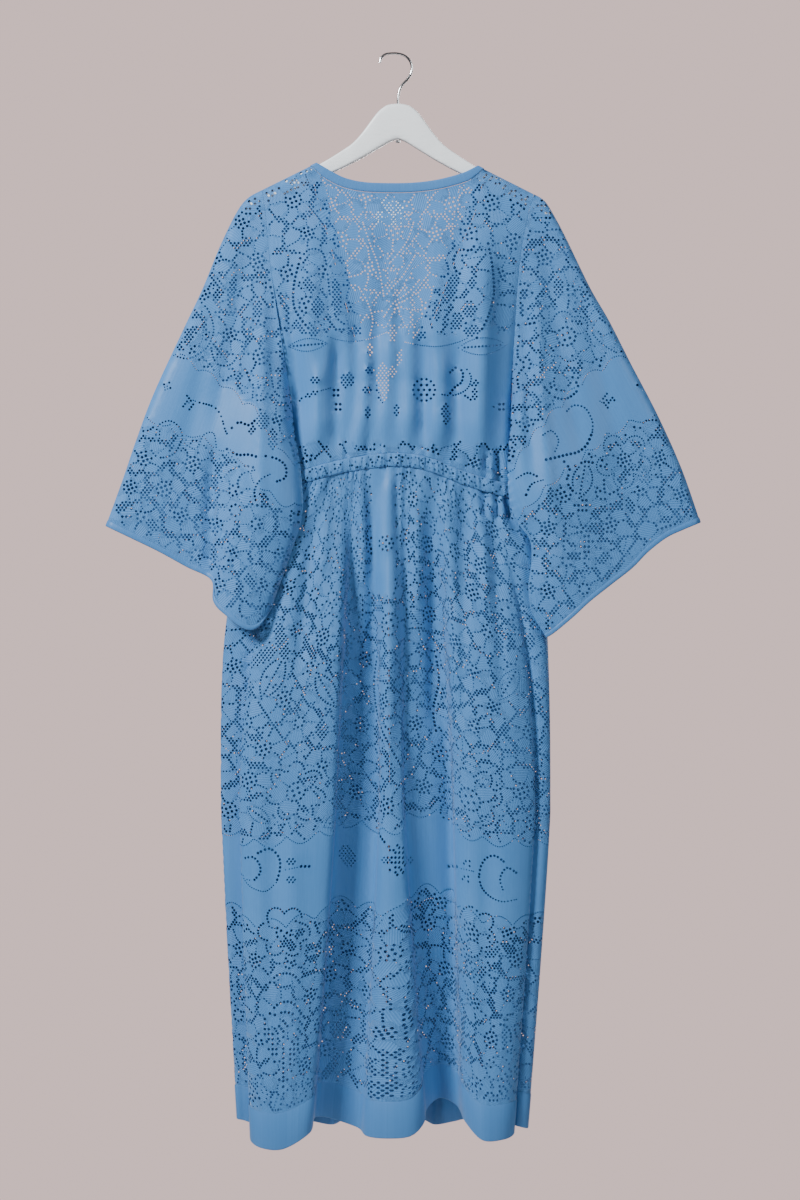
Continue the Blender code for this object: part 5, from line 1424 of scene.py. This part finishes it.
def math_node(tree, operation, *values):
    node = tree.nodes.new("ShaderNodeMath")
    node.operation = operation
    feed(tree, node.inputs, dict(enumerate(values)))
    return node.outputs[0]


def attribute(tree, title):
    node = tree.nodes.new("ShaderNodeAttribute")
    node.attribute_name = title
    return node.outputs["Fac"]


def cotton_group():
    tree = bpy.data.node_groups.new("brushed cotton", "ShaderNodeTree")
    for title, kind, value in (("Shade", "Color", (0.1, 0.3, 0.5, 1)),
                               ("Light", "Color", (0.2, 0.4, 0.6, 1)),
                               ("Brushing with painted shade", "Float", 0.3), ("Weave", "Float", 0.1)):
        socket = tree.interface.new_socket(title, in_out="INPUT", socket_type="NodeSocket" + kind)
        socket.default_value = value
    for title, kind in (("Colour", "Color"), ("Roughness", "Float"), ("Normal", "Vector")):
        tree.interface.new_socket(title, in_out="OUTPUT", socket_type="NodeSocket" + kind)
    given = tree.nodes.new("NodeGroupInput").outputs
    result = tree.nodes.new("NodeGroupOutput")
    uv = tree.nodes.new("ShaderNodeUVMap")
    uv.uv_map = "flat cloth"
    flat = uv.outputs["UV"]
    split = add_node(tree, "SeparateXYZ", {0: flat})
    petal = attribute(tree, "petal")
    angle = math_node(tree, "MULTIPLY", attribute(tree, "slant"), math.pi)
    way = math_node(
        tree, "ADD",
        math_node(tree, "MULTIPLY", split.outputs["X"], math_node(tree, "COSINE", angle)),
        math_node(tree, "MULTIPLY", split.outputs["Y"], math_node(tree, "SINE", angle)))
    ridges = math_node(tree, "SINE", math_node(tree, "MULTIPLY", way, 2 * math.pi / RIDGE))
    brushed_with_painted_shade = math_node(tree, "MULTIPLY", math_node(tree, "MULTIPLY", ridges, petal),
                        given["Brushing with painted shade"])
    blotch = add_node(tree, "TexNoise", {"Scale": 9.0, "Detail": 3.0, "Vector": flat})
    long = add_node(tree, "Mapping", {"Scale": (420.0, 14.0, 1.0), "Vector": flat})
    streak = add_node(tree, "TexNoise", {"Scale": 1.0, "Detail": 2.0, "Vector": long.outputs[0]})
    tone_and_ridge_shade = math_node(tree, "ADD", math_node(tree, "MULTIPLY", blotch.outputs["Fac"], 0.6),
                     math_node(tree, "MULTIPLY", streak.outputs["Fac"], 0.4))
    # Painted light and shade: the brushed ridges also lighten the colour on their crests and darken
    # it in their grooves.
    tone_and_ridge_shade = math_node(tree, "ADD", tone_and_ridge_shade, math_node(tree, "MULTIPLY", brushed_with_painted_shade, 0.6))
    mix = tree.nodes.new("ShaderNodeMix")
    mix.data_type = "RGBA"
    feed(tree, mix.inputs, {"Factor": tone_and_ridge_shade, "A": given["Shade"], "B": given["Light"]})
    rough = math_node(tree, "ADD", 0.50, math_node(tree, "MULTIPLY", petal, 0.12))
    weave = math_node(tree, "MULTIPLY", streak.outputs["Fac"], given["Weave"])
    bump = add_node(tree, "Bump", {"Distance": 0.0006, "Strength": 0.5,
                                   "Height": math_node(tree, "ADD", brushed_with_painted_shade, weave)})
    feed(tree, result.inputs, {"Colour": mix.outputs["Result"], "Roughness": rough,
                               "Normal": bump.outputs["Normal"]})
    return tree


def principled(name, values):
    made = bpy.data.materials.new(name)
    made.use_nodes = True
    shader = made.node_tree.nodes["Principled BSDF"]
    feed(made.node_tree, shader.inputs, values)
    return made, made.node_tree, shader


cotton = cotton_group()


def cloth_material(name, shade, light, brushing_with_painted_shade, weave):
    made, tree, shader = principled(name, {"Sheen Weight": 0.25, "Sheen Roughness": 0.4,
                                           "Specular IOR Level": 0.35})
    node = tree.nodes.new("ShaderNodeGroup")
    node.node_tree = cotton
    feed(tree, node.inputs, {"Shade": shade, "Light": light, "Brushing with painted shade": brushing_with_painted_shade, "Weave": weave})
    feed(tree, shader.inputs, {"Base Color": node.outputs["Colour"],
                               "Roughness": node.outputs["Roughness"],
                               "Normal": node.outputs["Normal"]})
    return made


lace_look = cloth_material("blue lace", (0.036, 0.165, 0.420, 1), (0.082, 0.272, 0.610, 1),
                           0.5, 0.5)
band_look = cloth_material("blue band", (0.034, 0.155, 0.400, 1), (0.072, 0.245, 0.560, 1),
                           0.0, 0.8)

# %% [markdown]
# ## Making the panels
# Each panel gets its motifs, its field of flowers and its cloth. The front is hidden in the
# photo, so its panels carry plain nets only.
# %% Lace panels
MOTIFS = {
    "bodice": sum(bodice_motifs, []), "skirt": sum(skirt_motifs, []),
    "sleeve_left": sum(left_sleeve_motifs, []), "sleeve_right": sum(right_sleeve_motifs, []),
}
# size of the flowers, breadth of the nets, spacing of the loose points, plain cloth below
KINDS = {
    "bodice": (1.0, 0.7, GROUND_STEP, MARGIN), "skirt": (1.0, 1.0, GROUND_STEP, 52.0),
    "sleeve": (0.9, 1.0, GROUND_STEP, 11.0), "casing": (0.75, 0.5, 3.6, MARGIN),
}
HIDDEN_NETS = 0.3      # breadth of the nets on the hidden front
FRONT_SHIFT = 9.0      # the flowers of the front panels lie this much aside
MOTIF_ROOM, LINE_ROOM, FIELD_ROOM = 2.6, 1.5, 2.2      # clearances to holes laid before, mm
pieces = {}


def measured_on(name, piece, tables, shift=0.0):
    """Rows of x, z and radius as seen, moved to the chart of this panel."""
    rows = [row for start, measured in tables.items() if name.startswith(start)
            for row in measured]
    if not rows:
        return np.zeros((0, 3))
    rows = np.array(rows, float) + (shift, 0, 0)
    flat = seen_places(piece, rows[:, :2])
    found = flat[:, 0] > 0
    return np.column_stack((to_chart(piece, flat[found]), rows[found, 2]))


for name, piece in panels.items():
    kind = name.split("_")[0]
    hidden = "front" in name
    scale, nets, ground, below = KINDS[kind]
    if hidden and kind != "casing":
        nets = HIDDEN_NETS
    motifs = measured_on(name, piece, {} if hidden else MOTIFS)
    roses = measured_on(name, piece, ROSES, FRONT_SHIFT if hidden else 0.0)
    filler, seeds = flower_field(piece, roses, scale, nets, hidden)
    holes = sift(piece, ((motifs, MOTIF_ROOM), (zone_lines(piece), LINE_ROOM),
                         (filler, FIELD_ROOM)), (MARGIN, MARGIN, MARGIN, below))
    cloth = lace_cloth(name + "_lace", piece, holes, lace_look, seeds, ground)
    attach(cloth, "root")
    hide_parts(name)
    pieces[name] = cloth

# %% [markdown]
# ## Hems
# The skirt's hem is turned up 5 cm and the cuffs are rolled 9 mm. A strip runs along the
# edge, outside, round the fold and back inside, so the edge looks as thick as it is.
# %% Hems
# ending of the name, height, thickness and ripple, mm
HEMS = {"skirt": ("_hem", 50.0, 0.7, 0.0), "sleeve": ("_cuff_hem", 9.0, 0.9, 0.18)}
RIPPLES = [(1.0, 0.9, 0.0), (0.6, 1.7, 1.0)]
RIPPLE_INSIDE = 0.3    # share of the ripple on the inner side
STRIP_STEP = 3.0       # spacing of the points along a strip, mm


def strip_mesh(name, grid, look, closed=False):
    rows, columns, _ = grid.shape
    faces = []
    for r in range(rows if closed else rows - 1):
        for c in range(columns - 1):
            a, b = r * columns + c, (r + 1) % rows * columns + c
            faces.append((a, a + 1, b + 1, b))
    mesh = add_mesh(name, (grid.reshape(-1, 3) * MM).tolist(), faces, look)
    down = STRIP_STEP * np.arange(rows)
    flat = np.stack(np.broadcast_arrays(lengths(grid[rows // 2])[None], down[:, None]), axis=-1)
    lay_uv(mesh, flat.reshape(-1, 2))
    made = add_object(name, mesh)
    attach(made, "root")
    return made


def hem(name, piece, height, thick, ripple):
    count = int(piece["width"] / STRIP_STEP)
    s = np.linspace(0.0, piece["width"], count)
    profile = [(height, 0.25), (height - 1.5, thick), (height / 2, thick * 1.05), (1.0, thick),
               (0.0, thick * 0.7), (-thick * 0.7, 0.0), (0.0, -thick * 0.7), (1.0, -thick),
               (height / 2, -thick * 1.05), (height - 1.5, -thick), (height, -0.25)]
    edge = place(piece, np.column_stack((s, np.full(count, piece["length"]))))
    above = place(piece, np.column_stack((s, np.full(count, piece["length"] - 2.0))))
    wave = ripple * mixed(s, RIPPLES)[:, None]
    grid = []
    for up, off in profile:
        flat = np.column_stack((s, np.full(count, piece["length"] - max(up, 0.0))))
        normal, _ = facing(piece, flat)
        line = place(piece, flat) + normal * (off + wave * (1 if off >= 0 else RIPPLE_INSIDE))
        if up < 0:
            line = edge + unit(edge - above) * -up
        grid.append(line)
    return strip_mesh(name, np.array(grid), band_look)


for name, piece in panels.items():
    if name.startswith(tuple(HEMS)):
        ending, height, thick, ripple = HEMS[name.split("_")[0]]
        hem(name + ending, piece, height, thick, ripple)

# %% [markdown]
# ## Neck band
# A strip folded double runs round the neck and down both fronts. Its section is a flat
# oval. Small stitches hold it to the lace.
# %% Neck band


BAND_THICK = 2.0
BAND_SIDES, BAND_POINTS = 14, 150
SEAM_IN, SEAM_OUT = (2.0, 1.6), 1.05     # where the stitches run: in from the edge, and proud


def ovals(count, round_across, round_out):
    """Points round a section whose sides are flattened, from -1 to 1."""
    angles = np.arange(count) * 2 * math.pi / count
    return [(math.copysign(abs(math.cos(angle)) ** round_across, math.cos(angle)),
             math.copysign(abs(math.sin(angle)) ** round_out, math.sin(angle)))
            for angle in angles]


def band(name, upper, lower):
    wide = np.linalg.norm(lower - upper, axis=1)[:, None]
    across = unit(lower - upper)
    middle = (upper + lower) / 2
    out = np.cross(unit(np.gradient(middle, axis=0)), across)
    rings = [middle + across * wide / 2 * u + out * BAND_THICK / 2 * v
             for u, v in ovals(BAND_SIDES, 0.5, 0.8)]
    return strip_mesh(name, np.array(rings), band_look, closed=True)


shares = np.linspace(0, 1, BAND_POINTS)
neck_columns = CORNER_LEFT + (CORNER_RIGHT - CORNER_LEFT) * shares
neck_low = back_top(neck_columns)
neck_high = three(along(NECK, np.interp(neck_columns, (CORNER_LEFT, CORNER_LEFT + CORNER_STEP,
                                                       CORNER_RIGHT - CORNER_STEP, CORNER_RIGHT),
                                        (0, NECK_END, 1 - NECK_END, 1))), neck_low[:, 1])
inward = unit(neck_low - neck_high)
bands = {"neckband_back": band("neck_band_back", neck_high, neck_low - inward * BAND_SEAM)}
seam_lines = [neck_low - inward * SEAM_IN[0] + np.array((0, -SEAM_OUT, 0))]
for hand in ("left", "right"):
    inner, outer = front_edge(hand, shares)
    depth = front_depth(shares)
    way = unit(inner - outer)
    outer = outer + way * BAND_SEAM
    inner[-1, 1] = outer[-1, 1] = along(WAIST, [waist_share(inner[-1, 0])])[0, 1] + SEAM
    bands[f"neckband_front_{hand}"] = band(f"neck_band_front_{hand}", three(inner, depth),
                                           three(outer, depth))
    seam_lines.append(three(outer + way * SEAM_IN[1], depth + SEAM_OUT))
for name, piece in bands.items():
    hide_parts(name)
print("bands", [made.name for made in bands.values()])

# %% [markdown]
# ## Stitches
# One stitch is a tiny spindle of thread. They are all joined into one mesh.
# %% Stitches
STITCH, STITCH_PITCH, THREAD_RADIUS = 2.2, 3.4, 0.28      # length, spacing, thickness, mm


def stitches(name, lines):
    points, faces = [], []
    for line in lines:
        walked = lengths(line)
        for middle in np.arange(STITCH_PITCH, walked[-1] - STITCH_PITCH, STITCH_PITCH):
            start, end = (np.array([np.interp(middle + way, walked, line[:, i]) for i in range(3)])
                          for way in (-STITCH / 2, STITCH / 2))
            aside = np.cross(end - start, (0, 1, 0))
            aside = aside / np.linalg.norm(aside) * THREAD_RADIUS
            centre = (start + end) / 2
            lift = np.array((0, THREAD_RADIUS, 0))
            first = len(points)
            points += [start, centre + aside, centre + lift, centre - aside, centre - lift, end]
            for k in range(4):
                a, b = first + 1 + k, first + 1 + (k + 1) % 4
                faces += [(first, a, b), (first + 5, b, a)]
    made = add_object(name, add_mesh(name, (np.array(points) * MM).tolist(), faces, band_look,
                                     smooth=False))
    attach(made, "root")
    return made


seam_stitches = stitches("neck_band_stitches", seam_lines)
print("stitches", len(seam_stitches.data.vertices) // 6)

# %% [markdown]
# ## Label
# A small white label hangs inside the back neck. It shows only through the lace. It is
# left blank.
# %% Label
LABEL_LEFT, LABEL_RIGHT, LABEL_TOP, LABEL_BOTTOM = -31.0, 9.0, -203.0, -241.0
LABEL_GAP = 0.4        # how far it lies inside the back bodice
LABEL_POINTS = 16
label_x, label_z = np.meshgrid(np.linspace(LABEL_LEFT, LABEL_RIGHT, LABEL_POINTS),
                               np.linspace(LABEL_TOP, LABEL_BOTTOM, LABEL_POINTS))
label_spots = seen_places(panels["bodice_back"], np.stack((label_x, label_z), axis=-1))
label_grid = place(panels["bodice_back"], label_spots).reshape(LABEL_POINTS, LABEL_POINTS, 3)
label_grid[:, :, 1] += LABEL_GAP
label_look = cloth_material("white label", (0.84, 0.88, 0.94, 1), (0.97, 0.98, 1.0, 1), 0.0, 0.4)
label = strip_mesh("neck_label", label_grid, label_look)
print("label", label.name, tuple(label.dimensions))


def cut_area(piece):
    """Area of the cloth in square metres, from the quads of its grid."""
    grid = piece["grid"] * MM
    first, second = grid[1:, 1:] - grid[:-1, :-1], grid[1:, :-1] - grid[:-1, 1:]
    return float(np.linalg.norm(np.cross(first, second), axis=2).sum() / 2)


for name, cloth in pieces.items():
    piece = panels[name]
    size = (piece["width"] * MM, piece["length"] * MM)
    area = min(cut_area(piece), size[0] * size[1])
    print(name, "flat", size, "area", round(area, 3))

# %% [markdown]
# ## The hanger
# A wooden bow with softened edges, painted white, and a bent steel hook. The bow is a row
# of rounded sections; the hook is a curve with a round bevel.
# %% Hanger
# x, top z, bottom z, half thickness
HANGER = [
    (0, -70.0, -120.0, 7.0), (12, -71.0, -124.0, 7.0), (20, -74.5, -128.5, 7.0),
    (31, -84.5, -135.0, 7.0), (50, -110.0, -146.0, 6.5), (64, -125.5, -153.5, 6.5),
    (78, -135.5, -160.5, 6.0), (97, -147.5, -169.5, 6.0), (110, -155.0, -176.0, 6.0),
    (118, -159.2, -180.0, 6.0), (150, -174.5, -194.5, 6.0), (180, -189.3, -208.0, 6.0),
    (204, -203.5, -218.0, 5.5), (216, -213.0, -222.0, 4.5),
]
RIGHT_ARM_DROOP = 0.035                  # how much lower the right arm hangs, per mm
STATIONS, BOW_SIDES = 260, 28
HOOK = [(-26, -11), (-24, -4.5), (-18.5, 0.5), (-10, 2), (0, 1.75), (9, -1), (16, -7),
        (19.5, -16), (18.5, -26), (13, -35), (6.5, -42), (2.5, -49), (0.8, -56), (0, -63),
        (0, -69.6)]
HOOK_WIRE, HOOK_POINTS = 1.75, 90        # radius in mm, points of its curve


def bumpy(tree, shader, scale, distance, stretch=(1, 1, 1)):
    """Fine unevenness in a hard surface."""
    here = tree.nodes.new("ShaderNodeTexCoord").outputs["Object"]
    mapping = add_node(tree, "Mapping", {"Scale": stretch, "Vector": here})
    noise = add_node(tree, "TexNoise", {"Scale": scale, "Vector": mapping.outputs[0]})
    bump = add_node(tree, "Bump", {"Distance": distance, "Height": noise.outputs["Fac"]})
    feed(tree, shader.inputs, {"Normal": bump.outputs["Normal"]})


paint, tree, shader = principled("white paint", {
    "Base Color": (0.90, 0.96, 1.0, 1), "Roughness": 0.38, "Coat Weight": 0.6,
    "Coat Roughness": 0.3})
bumpy(tree, shader, 60.0, 0.0004, (1, 1, 4))
steel, tree, shader = principled("polished steel", {
    "Base Color": (0.62, 0.64, 0.66, 1), "Metallic": 1.0, "Roughness": 0.16})
bumpy(tree, shader, 400.0, 0.00004)

half = table(HANGER)
stations = np.concatenate((half[:0:-1] * (-1, 1, 1, 1), half))
stations = spline(stations, np.linspace(0, len(stations) - 1, STATIONS))
x, top, bottom, thick = stations.T
middle = (top + bottom) / 2 - RIGHT_ARM_DROOP * np.maximum(x, 0)
rings = [np.column_stack((x, u * thick, middle + v * (top - bottom) / 2))
         for v, u in ovals(BOW_SIDES, 0.30, 0.42)]
wood = strip_mesh("wooden_bow", np.array(rings), paint, closed=True)
sides = [tuple(face.vertices) for face in wood.data.polygons]
last = BOW_SIDES * STATIONS
caps = [tuple(range(0, last, STATIONS)), tuple(range(last - 1, 0, -STATIONS))]
corners = [tuple(vertex.co) for vertex in wood.data.vertices]
capped = add_mesh("wooden bow", corners, sides + caps, paint)
capped.polygons.foreach_set("use_smooth", [True] * len(sides) + [False] * len(caps))
wood.data = capped
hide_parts("hanger_wood")

curve = bpy.data.curves.new("steel hook", "CURVE")
curve.dimensions = "3D"
curve.bevel_depth = HOOK_WIRE * MM
curve.bevel_resolution = 6
curve.use_fill_caps = True
line = along(HOOK, np.linspace(0, 1, HOOK_POINTS))
path = curve.splines.new("POLY")
path.points.add(len(line) - 1)
for point, (x, z) in zip(path.points, line):
    point.co = (x * MM, 0.0, z * MM, 1.0)
curve.splines[0].use_smooth = True
curve.materials.append(steel)
hook = add_object("steel_hook", curve)
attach(hook, "root")
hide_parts("hanger_hook")
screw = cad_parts["hanger_nut"]
for slot in screw.material_slots:
    slot.material = steel
print("hanger", wood.name, hook.name, screw.name)

# %% [markdown]
# ## Room, light and camera
# The camera sees an even pinkish beige behind the robe, and the world adds a faint cool
# light from everywhere. A key lamp at the upper left shades the folds, a weaker one at the
# right fills their shade, and a third lights the open front from behind.
# %% Room and light
BACKDROP, SKY, SKY_STRENGTH = (0.93, 0.70, 0.68, 1), (0.95, 0.97, 1.0, 1), 0.10
FLOOR_REACH, FLOOR_Z = 2.9, -2.4             # half width and height, m
MIDDLE = (0.0, 0.0, -0.8)                    # where the lamps point, m
# place in metres, size in metres and power in watts
LAMPS = {"key": ((-2.5, -2.3, 1.5), 0.9, 262), "fill": ((2.4, -2.5, 0.9), 1.4, 54),
         "behind": ((0.8, 2.8, 0.5), 2.0, 75)}
LENS, SENSOR = 73.9, 36.0                    # mm

world = bpy.data.worlds.new("beige room")
bpy.context.scene.world = world
world.use_nodes = True
tree = world.node_tree
ambient = tree.nodes["Background"]
feed(tree, ambient.inputs, {"Color": SKY, "Strength": SKY_STRENGTH})
backdrop = add_node(tree, "Background", {"Color": BACKDROP})
seen = tree.nodes.new("ShaderNodeLightPath").outputs["Is Camera Ray"]
either = add_node(tree, "MixShader", {"Fac": seen, 1: ambient.outputs[0],
                                      2: backdrop.outputs[0]})
feed(tree, tree.nodes["World Output"].inputs, {"Surface": either.outputs[0]})

floor_look, tree, shader = principled("pale floor", {
    "Base Color": (0.62, 0.54, 0.52, 1), "Roughness": 0.8})
bumpy(tree, shader, 5.0, 0.002)
floor_corners = [(x * FLOOR_REACH, y * FLOOR_REACH, FLOOR_Z)
                 for x, y in ((-1, -1), (1, -1), (1, 1), (-1, 1))]
floor = add_object("floor", add_mesh("floor", floor_corners, [(0, 1, 2, 3)], floor_look))

for name, (spot, size, power) in LAMPS.items():
    light = bpy.data.lights.new(name, "AREA")
    light.shape = "SQUARE"
    light.size = size
    light.energy = power
    lamp = add_object(name, light)
    lamp.location = spot
    lamp.rotation_euler = (Vector(MIDDLE) - Vector(spot)).to_track_quat("-Z", "Y").to_euler()

camera_data = bpy.data.cameras.new("camera")
camera_data.lens = LENS
camera_data.sensor_width = SENSOR
camera = add_object("camera", camera_data)
camera.location = tuple(EYE * MM)
camera.rotation_euler = (math.radians(90), 0, 0)
bpy.context.scene.camera = camera
print("lamps", list(LAMPS), "lens", LENS)
